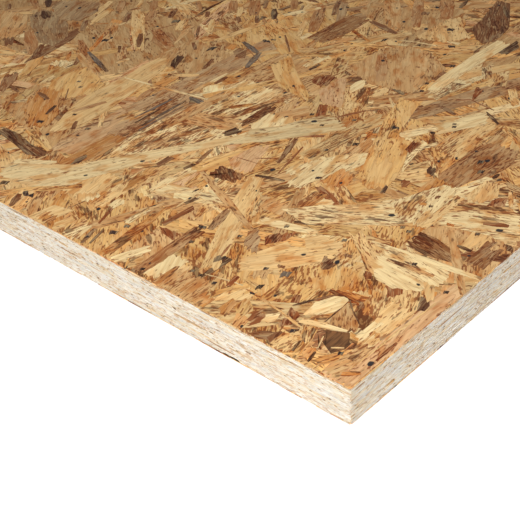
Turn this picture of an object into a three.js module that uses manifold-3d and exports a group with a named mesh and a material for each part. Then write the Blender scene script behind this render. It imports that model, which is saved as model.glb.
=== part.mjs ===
// Oriented strand board panel: long wood strands pressed with resin into one sheet, then sawn square
// on all four sides. Millimetres, +Z up. The origin is under the middle of the sheet, on its lower face.
import * as THREE from "three";
import { mergeVertices } from "three/addons/utils/BufferGeometryUtils.js";
import Module from "manifold-3d";

// The sheet.
const PANEL_LENGTH = 2440; // along X, the way that most face strands run
const PANEL_WIDTH = 1220; // along Y
const PANEL_THICKNESS = 18;
const ARRIS_EASE = 0.3; // the saw and handling take this much off each long arris
const CORNER_RADIUS = 1.2; // the upright corners are knocked round by this much
const CORNER_STEPS = 4;

// Slits: gaps between strand ends that the saw lays open in the edges.
const SLIT_PITCH = 61; // one slit to each such stretch of an edge
const SLIT_LENGTH = { least: 7, most: 30 };
const SLIT_HEIGHT = { least: 0.6, most: 1.6 };
const SLIT_DEPTH = { least: 1.6, most: 5.5 };
const SLIT_SLOPE = { least: -0.04, most: 0.04 }; // radians out of the plane of the sheet
const SLIT_COVER = 2.8; // whole strands that lie between a slit's middle and either face

// Nicks: bites out of an arris, where a strand end has broken away.
const NICK_PITCH = 203;
const NICK_LENGTH = { least: 5, most: 16 };
const NICK_REACH = { least: 0.9, most: 2.2 }; // in from the edge
const NICK_DROP = { least: 0.6, most: 1.3 }; // in from the face

// Hollows: flat-bottomed beds that a missing strand leaves in a face.
const HOLLOW_PITCH = { x: 349, y: 305 };
const HOLLOW_LENGTH = { least: 14, most: 46 };
const HOLLOW_WIDTH = { least: 5, most: 12 };
const HOLLOW_DEPTH = { least: 0.4, most: 0.8 };
const HOLLOW_TURN = { least: -0.9, most: 0.9 }; // radians off the length of the sheet
const TORN_SLANT = 0.7; // how far a torn end runs along the strand, for each unit of its width

// The front left corner was knocked: a short strand has sprung out of the upper face there, a crack
// has opened in the left edge, and a chip is off that edge's lower arris. Places are in from the
// left and front edges, and the crack's level is over the lower face.
const SPRUNG_STRAND = { left: 19, front: 21.5, length: 10.5, width: 8.5, depth: 0.7 };
const SPRUNG_TURN = 0.6; // radians off the length of the sheet
const SPRUNG_SLANT = 0.2;
const CORNER_CRACK = { front: 9, level: 5.4, length: 13, height: 0.8, depth: 2.4 };
const CORNER_CHIP = { front: 63, length: 6, reach: 1.2, drop: 0.9 };

// Facets of a slit or nick.
const ROUND_SIDES = 6;
const TAPER_STEPS = 5;
const TAPER_FULLNESS = 0.7; // under 1 is blunter than a sine wave

// Irrational steps scatter the features evenly and never repeat.
const SCATTER_STEPS = [0.6180339887, 0.7548776662, 0.569840291, 0.8191725134, 0.4142135624];
// Each edge or face starts this far on in the scatter, so that no two sides are alike.
const SERIES_STEP = { slits: 41, nicks: 13, hollows: 17 };

const wasm = await Module();
wasm.setup();

function solidOf(geometry) {
  const bare = geometry.clone();
  bare.deleteAttribute("normal");
  bare.deleteAttribute("uv");
  const merged = mergeVertices(bare, 1e-4);
  const vertProperties = Float32Array.from(merged.attributes.position.array);
  const triVerts = Uint32Array.from(merged.index.array);
  return new wasm.Manifold(new wasm.Mesh({ numProp: 3, vertProperties, triVerts }));
}

function geometryOf(solid) {
  const mesh = solid.getMesh();
  const geometry = new THREE.BufferGeometry();
  geometry.setAttribute("position", new THREE.BufferAttribute(mesh.vertProperties, 3));
  geometry.setIndex(new THREE.BufferAttribute(mesh.triVerts, 1));
  return geometry;
}

// A fraction from 0 to 1 for feature number `index`. Each of its measures has a scatter of its own.
function scatter(index, measure) {
  return ((index + 1) * SCATTER_STEPS[measure] + measure / 7) % 1;
}

function pick(range, fraction) {
  return range.least + (range.most - range.least) * fraction;
}

// Middles of `count` equal cells of a run, each moved within its cell by what `room` leaves free.
function placesAlong(run, pitch, room, measure) {
  const count = Math.max(1, Math.round(run / pitch));
  const cell = run / count;
  const free = Math.max(0, cell - room);
  return Array.from({ length: count }, (_, index) => {
    return (index + 0.5) * cell - run / 2 + (scatter(index, measure) - 0.5) * free;
  });
}

// The sheet as it leaves the saw: a rectangle with rounded corners and a small bevel on both faces.
function sawnSheet() {
  const right = PANEL_LENGTH / 2 - ARRIS_EASE;
  const back = PANEL_WIDTH / 2 - ARRIS_EASE;
  const inset = CORNER_RADIUS;
  const outline = new THREE.Shape();
  outline.absarc(right - inset, inset - back, inset, -Math.PI / 2, 0);
  outline.absarc(right - inset, back - inset, inset, 0, Math.PI / 2);
  outline.absarc(inset - right, back - inset, inset, Math.PI / 2, Math.PI);
  outline.absarc(inset - right, inset - back, inset, Math.PI, 1.5 * Math.PI);
  outline.closePath();
  const sheet = new THREE.ExtrudeGeometry(outline, {
    depth: PANEL_THICKNESS - 2 * ARRIS_EASE,
    bevelSize: ARRIS_EASE,
    bevelThickness: ARRIS_EASE,
    bevelSegments: 1,
    curveSegments: CORNER_STEPS,
  });
  return sheet.translate(0, 0, ARRIS_EASE);
}

// A spindle along X, pointed at both ends: the space round the end of a strand.
function spindle(length, reach, height) {
  const profile = Array.from({ length: TAPER_STEPS + 1 }, (_, step) => {
    const swell = Math.sin((Math.PI * step) / TAPER_STEPS);
    const atTip = step === 0 || step === TAPER_STEPS;
    return new THREE.Vector2(atTip ? 0 : swell ** TAPER_FULLNESS, step / TAPER_STEPS - 0.5);
  });
  return new THREE.LatheGeometry(profile, ROUND_SIDES)
    .rotateZ(-Math.PI / 2)
    .scale(length, reach, height);
}

// The bed of one strand: a long shape with two slanting torn ends, open at the top.
function strandBed({ length, width, depth }, slant) {
  const half = width / 2;
  const tear = slant * width;
  const outline = new THREE.Shape([
    new THREE.Vector2(-length / 2, -half),
    new THREE.Vector2(length / 2 - tear, -half),
    new THREE.Vector2(length / 2 - tear / 4, half / 4),
    new THREE.Vector2(length / 2, half),
    new THREE.Vector2(tear - length / 2, half),
    new THREE.Vector2(tear / 2 - length / 2, half / 2),
  ]);
  const bed = new THREE.ExtrudeGeometry(outline, { depth: 2 * depth, bevelEnabled: false });
  return bed.translate(0, 0, -depth);
}

// The four edges: how long each runs, how far it lies from the middle, and its turn about Z.
const EDGES = [0, 1, 2, 3].map((quarter) => {
  const isLong = quarter % 2 === 0;
  return {
    run: isLong ? PANEL_LENGTH : PANEL_WIDTH,
    offset: isLong ? PANEL_WIDTH / 2 : PANEL_LENGTH / 2,
    turn: (quarter * Math.PI) / 2,
  };
});

function slitsOf(edge, firstIndex) {
  const places = placesAlong(edge.run, SLIT_PITCH, SLIT_LENGTH.most, 0);
  return places.map((along, place) => {
    const index = firstIndex + place;
    const length = pick(SLIT_LENGTH, scatter(index, 1));
    const height = pick(SLIT_HEIGHT, scatter(index, 2));
    const depth = pick(SLIT_DEPTH, scatter(index, 3));
    const levels = { least: SLIT_COVER, most: PANEL_THICKNESS - SLIT_COVER };
    return spindle(length, depth, height / 2)
      .rotateY(pick(SLIT_SLOPE, scatter(index, 0)))
      .translate(along, edge.offset, pick(levels, scatter(index, 4)))
      .rotateZ(edge.turn);
  });
}

function nicksOf(edge, firstIndex) {
  const places = placesAlong(edge.run, NICK_PITCH, 2 * NICK_LENGTH.most, 3);
  return places.map((along, place) => {
    const index = firstIndex + place;
    const length = pick(NICK_LENGTH, scatter(index, 2));
    const reach = pick(NICK_REACH, scatter(index, 0));
    const drop = pick(NICK_DROP, scatter(index, 1));
    const level = index % 2 === 0 ? PANEL_THICKNESS : 0;
    return spindle(length, reach, drop).translate(along, edge.offset, level).rotateZ(edge.turn);
  });
}

function hollowsOf(level, firstIndex) {
  const rows = placesAlong(PANEL_WIDTH, HOLLOW_PITCH.y, HOLLOW_LENGTH.most, 1);
  return rows.flatMap((rowPlace, row) => {
    const places = placesAlong(PANEL_LENGTH, HOLLOW_PITCH.x, HOLLOW_LENGTH.most, row);
    const free = HOLLOW_PITCH.y / 2 - HOLLOW_LENGTH.most;
    return places.map((along, place) => {
      const index = firstIndex + row * places.length + place;
      const across = rowPlace + (scatter(index, 3) - 0.5) * free;
      const strand = {
        length: pick(HOLLOW_LENGTH, scatter(index, 0)),
        width: pick(HOLLOW_WIDTH, scatter(index, 1)),
        depth: pick(HOLLOW_DEPTH, scatter(index, 2)),
      };
      return strandBed(strand, TORN_SLANT)
        .rotateZ(pick(HOLLOW_TURN, scatter(index, 4)))
        .translate(along, across, level);
    });
  });
}

// What the knock took: places along the left edge run from the middle of the sheet.
function cornerDamage() {
  const left = EDGES[1];
  const front = -PANEL_WIDTH / 2;
  const { length, height, depth } = CORNER_CRACK;
  const crack = spindle(length, depth, height / 2)
    .translate(front + CORNER_CRACK.front, left.offset, CORNER_CRACK.level)
    .rotateZ(left.turn);
  const chip = spindle(CORNER_CHIP.length, CORNER_CHIP.reach, CORNER_CHIP.drop)
    .translate(front + CORNER_CHIP.front, left.offset, 0)
    .rotateZ(left.turn);
  const bed = strandBed(SPRUNG_STRAND, SPRUNG_SLANT)
    .rotateZ(SPRUNG_TURN)
    .translate(SPRUNG_STRAND.left - PANEL_LENGTH / 2, front + SPRUNG_STRAND.front, PANEL_THICKNESS);
  return [crack, chip, bed];
}

function pressedPanel() {
  const cuts = [
    ...EDGES.flatMap((edge, side) => slitsOf(edge, side * SERIES_STEP.slits)),
    ...EDGES.flatMap((edge, side) => nicksOf(edge, side * SERIES_STEP.nicks)),
    ...hollowsOf(PANEL_THICKNESS, 0),
    ...hollowsOf(0, SERIES_STEP.hollows),
    ...cornerDamage(),
  ];
  return cuts.reduce((solid, cut) => solid.subtract(solidOf(cut)), solidOf(sawnSheet()));
}

const strandBoard = new THREE.MeshStandardMaterial({ color: 0xd2ab74, roughness: 0.72, metalness: 0 });
const oneBoard = new THREE.Mesh(geometryOf(pressedPanel()), strandBoard);
oneBoard.name = "osb_panel";

const board = new THREE.Group();
board.add(oneBoard);

export default board;
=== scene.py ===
import logging
import math
from collections.abc import Callable, Iterable, Iterator, Sequence
from dataclasses import dataclass, field, replace
from enum import Enum
from typing import Any

import bpy
import numpy as np
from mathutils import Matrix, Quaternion, Vector


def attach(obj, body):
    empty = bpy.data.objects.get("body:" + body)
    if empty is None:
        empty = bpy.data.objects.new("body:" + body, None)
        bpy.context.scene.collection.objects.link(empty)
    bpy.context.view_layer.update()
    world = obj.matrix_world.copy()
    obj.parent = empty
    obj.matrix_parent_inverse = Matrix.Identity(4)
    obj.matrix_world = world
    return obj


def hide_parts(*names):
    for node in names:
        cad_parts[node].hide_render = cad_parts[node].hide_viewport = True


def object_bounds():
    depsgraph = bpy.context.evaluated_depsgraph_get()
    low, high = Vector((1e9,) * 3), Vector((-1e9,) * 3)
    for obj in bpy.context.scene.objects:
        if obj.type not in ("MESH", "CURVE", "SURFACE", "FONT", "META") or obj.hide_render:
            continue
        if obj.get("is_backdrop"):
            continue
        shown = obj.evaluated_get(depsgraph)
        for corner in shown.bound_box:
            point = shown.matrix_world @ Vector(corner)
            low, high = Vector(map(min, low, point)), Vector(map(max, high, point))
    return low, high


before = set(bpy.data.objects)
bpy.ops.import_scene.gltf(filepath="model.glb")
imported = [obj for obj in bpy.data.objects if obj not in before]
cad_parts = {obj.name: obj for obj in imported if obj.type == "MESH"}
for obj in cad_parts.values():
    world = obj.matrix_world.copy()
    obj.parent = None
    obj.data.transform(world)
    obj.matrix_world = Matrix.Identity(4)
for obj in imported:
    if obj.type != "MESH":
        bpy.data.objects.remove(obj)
CAD_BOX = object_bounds()

# Oriented strand board panel: a pressed sheet of long wood strands, sawn square on four sides.
# Metres, +Z up. The sheet lies flat, with the middle of its lower face over the origin.
# Strands are laid out in millimetres, because their sizes are; everything made from them is in metres.

LOG = logging.getLogger("strand_board")
PANEL = "osb_panel"
MM = 0.001

Point = tuple[float, float]
Span = tuple[float, float]  # least and most, or along and across
Triple = tuple[float, float, float]
Colour = tuple[float, float, float]
Sides = tuple[float, float, float, float]  # west, east, south and north
Piece = bpy.types.Object
Material = bpy.types.Material
Polygon = bpy.types.MeshPolygon
Node = bpy.types.Node
Socket = bpy.types.NodeSocket
Mesh = bpy.types.Mesh
Dice = np.random.Generator


def linear(srgb: Sequence[float]) -> Colour:
    """Turns a colour written as 0..255 sRGB into linear 0..1.

    Args:
        srgb: The three channels, 0 to 255.

    Returns:
        The three linear channels.
    """
    parts = [channel / 255 for channel in srgb]
    return tuple(p / 12.92 if p <= 0.04045 else ((p + 0.055) / 1.055) ** 2.4 for p in parts)


class Shade(Enum):
    """A colour as 0..255 sRGB."""

    @property
    def colour(self) -> Colour:
        """The shade as a linear colour."""
        return linear(self.value)


class Tone(Shade):
    """Colours of dry softwood strands under resin."""

    STRAW = (234, 193, 131)
    GOLDEN = (229, 181, 113)
    TAN = (214, 168, 112)
    CREAM = (246, 217, 160)
    PINK = (226, 178, 128)
    ORANGE = (212, 147, 80)
    RUST = (154, 92, 52)
    UMBER = (184, 132, 84)
    BROWN = (132, 88, 56)
    GREY = (180, 143, 102)
    DARK = (84, 56, 38)
    SLATE = (122, 108, 94)
    BLACK = (58, 48, 44)


STRAW, GOLDEN, TAN, CREAM, PINK, ORANGE, RUST, UMBER, BROWN, GREY, DARK, SLATE, BLACK = Tone


class SawnTone(Shade):
    """Colours of freshly sawn strand sections."""

    WHITE = (247, 242, 233)
    CREAM = (245, 236, 219)
    PALE_GREY = (233, 228, 220)
    STRAW = (240, 221, 188)
    TAN = (224, 192, 150)
    BROWN = (184, 143, 104)


class EndCut(Enum):
    """How a strand ends."""

    SQUARE = "square"
    SLANTED = "slanted"
    TORN = "torn"
    POINTED = "pointed"


# Shader graphs.


class Value:
    """One number in a shader graph: Python's operators on it add Math nodes."""

    def __init__(self, graph: "Graph", socket: Socket) -> None:
        """Wraps an output socket of a graph."""
        self.graph = graph
        self.socket = socket

    def _math(self, operation: str, *others: "Value | float", first: bool = True) -> "Value":
        """Adds one Math node.

        Args:
            operation: The node's operation.
            others: The other operands.
            first: Whether this value is the first operand.

        Returns:
            The node's result.
        """
        links = dict(enumerate([self, *others] if first else [*others, self]))
        return Value(self.graph, self.graph.node("Math", links, operation=operation).outputs[0])

    def __add__(self, other: "Value | float") -> "Value":
        """The sum."""
        return self._math("ADD", other)

    __radd__ = __add__

    def __sub__(self, other: "Value | float") -> "Value":
        """The difference."""
        return self._math("SUBTRACT", other)

    def __rsub__(self, other: "Value | float") -> "Value":
        """The difference, from a number."""
        return self._math("SUBTRACT", other, first=False)

    def __mul__(self, other: "Value | float") -> "Value":
        """The product."""
        return self._math("MULTIPLY", other)

    __rmul__ = __mul__

    def __truediv__(self, other: "Value | float") -> "Value":
        """The quotient."""
        return self._math("DIVIDE", other)

    def sine(self) -> "Value":
        """The sine of this value in radians."""
        return self._math("SINE")

    def size(self) -> "Value":
        """The value without its sign."""
        return self._math("ABSOLUTE")

    def least(self, other: "Value | float") -> "Value":
        """The smaller of the two."""
        return self._math("MINIMUM", other)

    def most(self, other: "Value | float") -> "Value":
        """The larger of the two."""
        return self._math("MAXIMUM", other)

    def step(self, low: "Value | float", high: "Value | float") -> "Value":
        """A smooth step from 0 at `low` to 1 at `high`.

        Args:
            low: Where the step starts.
            high: Where it ends.

        Returns:
            The stepped value, 0 to 1.
        """
        ends = {"Value": self, "From Min": low, "From Max": high, "To Min": 0.0, "To Max": 1.0}
        made = self.graph.node("MapRange", ends, interpolation_type="SMOOTHSTEP", clamp=True)
        return Value(self.graph, made.outputs[0])


class Graph:
    """The shader graph of a material or of the room."""

    def __init__(self, owner: Material | bpy.types.World) -> None:
        """Empties the owner's graph.

        Args:
            owner: The material or the room's world.
        """
        self.owner = owner
        owner.use_nodes = True
        self.tree = owner.node_tree
        self.tree.nodes.clear()

    def node(self, kind: str, inputs: dict[str | int, Any] | None = None, **settings: Any) -> Node:
        """Adds a shader node.

        Args:
            kind: The node's type.
            inputs: Values or links for its sockets, by index, identifier or name.
            settings: Properties to set before its sockets.

        Returns:
            The node.
        """
        made = self.tree.nodes.new(f"ShaderNode{kind}")
        for key, setting in settings.items():
            setattr(made, key, setting)
        for key, given in (inputs or {}).items():
            socket = made.inputs[key] if isinstance(key, int) else self._socket(made, key)
            if isinstance(given, Value):
                given = given.socket
            if isinstance(given, Socket):
                self.tree.links.new(given, socket)
            elif isinstance(given, tuple) and len(given) == 3 and socket.type == "RGBA":
                socket.default_value = (*given, 1.0)
            else:
                socket.default_value = given
        return made

    @staticmethod
    def _socket(made: Node, key: str) -> Socket:
        """Finds a node's input by its identifier, or else by its name."""
        named = [socket for socket in made.inputs if socket.identifier == key]
        return named[0] if named else made.inputs[key]

    def uv(self, name: str) -> Socket:
        """The coordinates of one of the piece's own UV maps."""
        return self.node("UVMap", uv_map=name).outputs[0]

    def place(self) -> Socket:
        """Object coordinates, in metres."""
        return self.node("TexCoord").outputs["Object"]

    def attribute(self, name: str) -> Node:
        """Reads one of the mesh's own attributes."""
        return self.node("Attribute", attribute_name=name)

    def parts(self, vector: Socket) -> tuple[Value, Value, Value]:
        """Splits a vector into its three numbers."""
        return tuple(Value(self, socket) for socket in self.node("SeparateXYZ", {0: vector}).outputs)

    def vector(self, x: Value | float, y: Value | float, z: Value | float) -> Socket:
        """Joins three numbers into a vector."""
        return self.node("CombineXYZ", {0: x, 1: y, 2: z}).outputs[0]

    def stretch(self, vector: Socket, size: tuple[float, ...], shift: float = 0.0) -> Socket:
        """Scales coordinates so that one feature is `size` metres.

        Args:
            vector: The coordinates.
            size: A feature's size along each axis.
            shift: How far to move the pattern, in features, so that two patterns differ.

        Returns:
            The scaled coordinates.
        """
        per_metre = (*(1 / length for length in size), 0.0)[:3]
        inputs = {0: vector, 1: per_metre, 2: (shift, shift * 0.7, 0.0)}
        return self.node("VectorMath", inputs, operation="MULTIPLY_ADD").outputs[0]

    def noise(
        self, vector: Socket, size: tuple[float, ...], detail: float = 1.0, shift: float = 0.0
    ) -> Value:
        """Soft noise, 0 to 1.

        Args:
            vector: The coordinates in metres.
            size: A feature's size along each axis.
            detail: How many finer octaves it has.
            shift: How far the pattern is moved, in features.

        Returns:
            The noise.
        """
        inputs = {"Vector": self.stretch(vector, size, shift), "Scale": 1.0, "Detail": detail}
        return Value(self, self.node("TexNoise", inputs, noise_dimensions=f"{len(size)}D").outputs[0])

    def cells(self, vector: Socket, size: Point, shift: float = 0.0) -> tuple[Value, Value, Value]:
        """Scattered cells, for what has a crisp outline.

        Args:
            vector: The coordinates in metres.
            size: A cell's size along each axis.
            shift: How far the pattern is moved, in cells.

        Returns:
            The distance from the cell's point, and two random numbers of the cell.
        """
        inputs = {"Vector": self.stretch(vector, size, shift), "Scale": 1.0}
        made = self.node("TexVoronoi", inputs, voronoi_dimensions="2D", feature="F1")
        picks = self.node("SeparateColor", {0: made.outputs["Color"]}).outputs
        return tuple(Value(self, socket) for socket in (made.outputs["Distance"], *picks[:2]))

    def mix(
        self, factor: Value | float, base: Socket | Colour, over: Socket | Colour, blend: str = "MIX"
    ) -> Socket:
        """Mixes two colours.

        Args:
            factor: How much of the second shows.
            base: The first colour.
            over: The second colour.
            blend: The way they mix.

        Returns:
            The mixed colour.
        """
        inputs = {"Factor_Float": factor, "A_Color": base, "B_Color": over}
        return self.node("Mix", inputs, data_type="RGBA", blend_type=blend, clamp_factor=True).outputs[2]

    def brighten(self, colour: Socket, amount: Value) -> Socket:
        """Multiplies a colour by a number."""
        return self.node("VectorMath", {0: colour, "Scale": amount}, operation="SCALE").outputs[0]

    def finish(
        self, colour: Socket, roughness: Value, height: Value, relief: float, specular: float
    ) -> Material:
        """Ends the graph in a Principled shader.

        Args:
            colour: The base colour.
            roughness: The roughness.
            height: The bump's height, 0 to 1.
            relief: How high the bump is, in metres.
            specular: The specular level.

        Returns:
            The material.
        """
        bump = self.node("Bump", {"Strength": 1.0, "Distance": relief, "Height": height}).outputs[0]
        look = {"Base Color": colour, "Roughness": roughness, "Normal": bump, "Specular IOR Level": specular}
        shader = self.node("BsdfPrincipled", look)
        self.node("OutputMaterial", {"Surface": shader.outputs[0]})
        return self.owner


# Finishes.


@dataclass(frozen=True)
class StrandFinish:
    """A pressed strand on a face: fibres, torn layers, red-brown dashes, stains, dark specks, and painted
    shade along the edges and walls of strands.

    Sizes are (along the grain, across it), in metres.
    """

    name: str = "face_strand"
    fibre: Span = (0.0075, 0.00062)
    streak: Span = (0.022, 0.0019)
    cloud: Span = (0.024, 0.009)
    sway: Span = (0.060, 0.018)
    tear: Span = (0.026, 0.0052)
    dash: Span = (0.0041, 0.00092)
    scratch: Span = (0.0085, 0.00055)
    blot: Span = (0.013, 0.0036)
    patch: Span = (0.015, 0.0075)
    dash_field: Span = (0.034, 0.013)
    mottle: Span = (0.060, 0.045)
    ring_width: float = 0.0034
    speck_cell: float = 0.0239
    relief: float = 0.00016
    # Painted shade: the red-brown of the dark lines at strand edges and torn layers.
    dash_and_shade_colour: Colour = linear((126, 72, 40))
    dash_shade: Colour = linear((156, 102, 70))
    bark_colour: Colour = linear((100, 66, 42))
    patch_colour: Colour = linear((222, 180, 134))
    scratch_colour: Colour = linear((240, 200, 142))
    ring_colour: Colour = linear((190, 126, 68))
    stain_colour: Colour = linear((240, 190, 132))
    deep_colour: Colour = linear((218, 178, 132))
    light_colour: Colour = linear((250, 221, 166))
    speck_colour: Colour = linear((44, 42, 45))
    # Painted shade: the brown that darkens the walls of strands into outlines.
    painted_wall_shade: Colour = linear((104, 68, 44))

    def build(self) -> Material:
        """Makes the material.

        Returns:
            The material.
        """
        graph = Graph(bpy.data.materials.new(self.name))
        grain = graph.uv("Grain")
        tone = graph.attribute("Tone").outputs["Color"]
        fleck, figure, side = graph.parts(graph.attribute("Figure").outputs["Vector"])
        rim_share, half_width, _ = graph.parts(graph.uv("Rim"))
        along, across, _ = graph.parts(grain)
        top = 1.0 - side

        # The grain wanders, and everything below follows it.
        sway = graph.noise(grain, self.sway, 1.0, 5.3)
        cloud = graph.noise(grain, self.cloud, 2.0, 7.7)
        wave = across + (sway - 0.5) * 0.007 + (cloud - 0.5) * 0.0014
        wander = graph.vector(along, wave, 0.0)
        fibre = graph.noise(wander, self.fibre, 2.5)
        streak = graph.noise(wander, self.streak, 2.0, 3.1)
        mottle = graph.noise(graph.place(), self.mottle, 3.0, 0.4)

        # Torn layers, paler on top, with a thin dark rim of painted shadow.
        tear = graph.noise(wander, self.tear, 3.5, 11.3)
        layer = tear.step(0.545, 0.560)
        painted_layer_shadow = tear.step(0.512, 0.543) - layer

        # Growth rings, wide where the strand is cut flat to them.
        ring_place = wave / self.ring_width + along * 6.0 + sway * 3.0
        ring = (ring_place * math.tau).sine().step(0.15, 0.95) * figure

        # Red-brown dashes lie in fields, and bark in blots.
        field_shade = graph.noise(grain, self.dash_field, 1.5, 1.9)
        share = (field_shade - 0.5) * 0.50 + (mottle - 0.5) * 0.20 + fleck * 0.075
        dash = (graph.noise(wander, self.dash, 2.5, 4.4) + share).step(0.604, 0.680)
        blot = (graph.noise(wander, self.blot, 3.5, 12.2) + share * 0.8).step(0.670, 0.730)
        patch = (graph.noise(wander, self.patch, 3.0, 15.1) + share * 0.4).step(0.52, 0.68)
        scratch = graph.noise(wander, self.scratch, 1.0, 17.9).step(0.60, 0.68)

        # Painted shade: a dark line along parts of a strand's long sides.
        margin = (1.0 - rim_share.size()) * half_width + (fibre - 0.5) * 0.0010
        painted_edge_shade = (1.0 - margin.step(0.00005, 0.00070)) * cloud.step(0.46, 0.54)

        # Stains of resin.
        stain = graph.noise(grain, (0.026, 0.010), 3.0, 9.2).step(0.53, 0.63)

        # Near-black specks, one to a cell at most.
        spot, spot_pick, spot_size = graph.cells(grain, (self.speck_cell, self.speck_cell * 0.72), 2.3)
        ragged = graph.noise(grain, (0.0016, 0.0009), 1.0, 6.1)
        reach = 0.025 + spot_size * 0.05 + (ragged - 0.5) * 0.03
        speck = (reach - spot).step(0.0, 0.018) * (spot_pick.step(0.52, 0.54))

        shade = 1.07 + (fibre - 0.5) * 0.37 + (streak - 0.5) * 0.26 + (cloud - 0.5) * 0.20
        colour = graph.brighten(tone, shade + (mottle - 0.5) * 0.30)
        colour = graph.mix((0.52 - streak).step(0.0, 0.16) * 0.3, colour, self.deep_colour, "MULTIPLY")
        colour = graph.mix(layer * 0.18, colour, self.light_colour)
        colour = graph.mix(ring * 0.36, colour, self.ring_colour)
        colour = graph.mix(stain * 0.35, colour, self.stain_colour, "MULTIPLY")
        colour = graph.mix(patch * 0.75, colour, self.patch_colour, "MULTIPLY")
        # Painted shadow at the rim of torn layers.
        colour = graph.mix(painted_layer_shadow * top * 0.30, colour, self.dash_and_shade_colour)
        # Painted shade along the long sides of strands.
        colour = graph.mix(painted_edge_shade * top * 0.40, colour, self.dash_and_shade_colour)
        colour = graph.mix(scratch * 0.36, colour, self.scratch_colour)
        colour = graph.mix(blot * top * 0.66, colour, self.bark_colour)
        colour = graph.mix(dash * top * 0.79, colour, self.dash_shade, "MULTIPLY")
        colour = graph.mix(speck * top * 0.97, colour, self.speck_colour)
        # Painted shade on the walls of strands, a thin brown outline.
        colour = graph.mix(side * 0.62, colour, self.painted_wall_shade)

        roughness = 0.50 + fibre * 0.24 + dash * 0.12
        height = fibre * 0.5 + streak * 0.3 + layer * 0.25 - dash * 0.4 - painted_edge_shade * 0.3 - speck * 0.3
        return graph.finish(colour, roughness, height, self.relief, 0.35)


@dataclass(frozen=True)
class BedFinish:
    """What shows where no strand lies: the darker core in shadow."""

    name: str = "strand_bed"
    # Painted shade: these dark browns colour the core as the shade in the gaps between strands.
    deep_colour: Colour = linear((70, 46, 33))
    high_colour: Colour = linear((156, 108, 66))
    fibre: Triple = (0.006, 0.0006, 0.004)
    cloud: Triple = (0.008, 0.003, 0.008)

    def build(self) -> Material:
        """Makes the material.

        Returns:
            The material.
        """
        graph = Graph(bpy.data.materials.new(self.name))
        place = graph.place()
        fibre = graph.noise(place, self.fibre, 2.0)
        cloud = graph.noise(place, self.cloud, 2.0, 3.3)
        blend = (fibre * 0.6 + cloud * 0.6 - 0.12).step(0.2, 0.85)
        colour = graph.mix(blend, self.deep_colour, self.high_colour)
        return graph.finish(colour, 0.62 + fibre * 0.2, fibre * 0.6 + cloud * 0.4, 0.0003, 0.25)


@dataclass(frozen=True)
class SawnFinish:
    """Sawn strand sections on an edge: cream wood with short tan and brown dashes along the sheet."""

    name: str = "sawn_edge"
    sway: Span = (0.020, 0.006)
    blot: Span = (0.0065, 0.0017)
    fibre: Span = (0.0024, 0.00032)
    streak: Span = (0.010, 0.0010)
    dash: Span = (0.0030, 0.00070)
    # Painted shade: thin grey valley lines between the layers.
    line: Span = (0.014, 0.00070)
    glow: Span = (0.008, 0.0014)
    dash_field: Span = (0.024, 0.0034)
    blot_colour: Colour = linear((196, 152, 104))
    # Short tan dashes, and painted shade on the walls of sections.
    dash_and_shade_colour: Colour = linear((204, 160, 104))
    deep_colour: Colour = linear((104, 80, 54))
    grey_colour: Colour = linear((188, 183, 172))
    glow_colour: Colour = linear((250, 231, 192))
    relief: float = 0.00008

    def build(self) -> Material:
        """Makes the material.

        Returns:
            The material.
        """
        graph = Graph(bpy.data.materials.new(self.name))
        grain = graph.uv("Grain")
        tone = graph.attribute("Tone").outputs["Color"]
        fleck, grey, side = graph.parts(graph.attribute("Figure").outputs["Vector"])

        # The layers bend round each other.
        along, across, _ = graph.parts(grain)
        sway = graph.noise(grain, self.sway, 1.0, 5.3)
        grain = graph.vector(along, across + (sway - 0.5) * 0.005, 0.0)

        fibre = graph.noise(grain, self.fibre, 2.0)
        streak = graph.noise(grain, self.streak, 2.0, 3.1)
        field_shade = graph.noise(grain, self.dash_field, 1.0, 1.9)
        share = (field_shade - 0.5) * 0.30 + fleck * 0.05
        blot = (graph.noise(grain, self.blot, 3.0, 12.2) + share).step(0.610, 0.690)
        grit = graph.noise(grain, self.dash, 2.0, 4.4) + share
        dash = grit.step(0.605, 0.665)
        deep = grit.step(0.715, 0.765)
        line = graph.noise(grain, self.line, 1.0, 8.4).step(0.60, 0.68)
        glow = graph.noise(grain, self.glow, 1.0, 6.6).step(0.50, 0.68)

        shade = 0.70 + fibre * 0.26 + streak * 0.14
        colour = graph.brighten(tone, shade)
        # The sections' own grey, and painted shade: thin grey valley lines along the layers.
        colour = graph.mix((grey * 0.5 + line * 0.8).least(1.0) * 0.42, colour, self.grey_colour)
        colour = graph.mix(glow * 0.5, colour, self.glow_colour, "MULTIPLY")
        colour = graph.mix(blot * 0.55, colour, self.blot_colour)
        colour = graph.mix(dash * 0.62, colour, self.dash_and_shade_colour)
        colour = graph.mix(deep * 0.85, colour, self.deep_colour)
        # Painted shade: the walls of sections are tinted darker.
        colour = graph.mix(side * 0.12, colour, self.dash_and_shade_colour)

        height = fibre * 0.6 + streak * 0.4 - dash * 0.5 - line * 0.3
        return graph.finish(colour, 0.72 + fibre * 0.16, height, self.relief, 0.2)


@dataclass(frozen=True)
class FloorFinish:
    """The plain white floor: white to the camera, and still shaded by the sheet's shadow."""

    name: str = "white_floor"
    own_colour: Colour = (0.86, 0.86, 0.86)
    lift: float = 0.85
    glow: float = 1.13

    def build(self) -> Material:
        """Makes the material.

        Returns:
            The material.
        """
        graph = Graph(bpy.data.materials.new(self.name))
        rays = graph.node("LightPath")
        seen = Value(graph, rays.outputs["Is Camera Ray"])
        for kind in ("Is Glossy Ray", "Is Transmission Ray"):
            seen = seen.most(Value(graph, rays.outputs[kind]))
        plain = graph.node("BsdfDiffuse", {"Color": self.own_colour})
        bright = graph.node("Emission", {"Color": (1.0, 1.0, 1.0), "Strength": self.glow})
        both = graph.node("MixShader", {0: seen * self.lift, 1: plain.outputs[0], 2: bright.outputs[0]})
        graph.node("OutputMaterial", {"Surface": both.outputs[0]})
        return graph.owner


# Strands.


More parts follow.
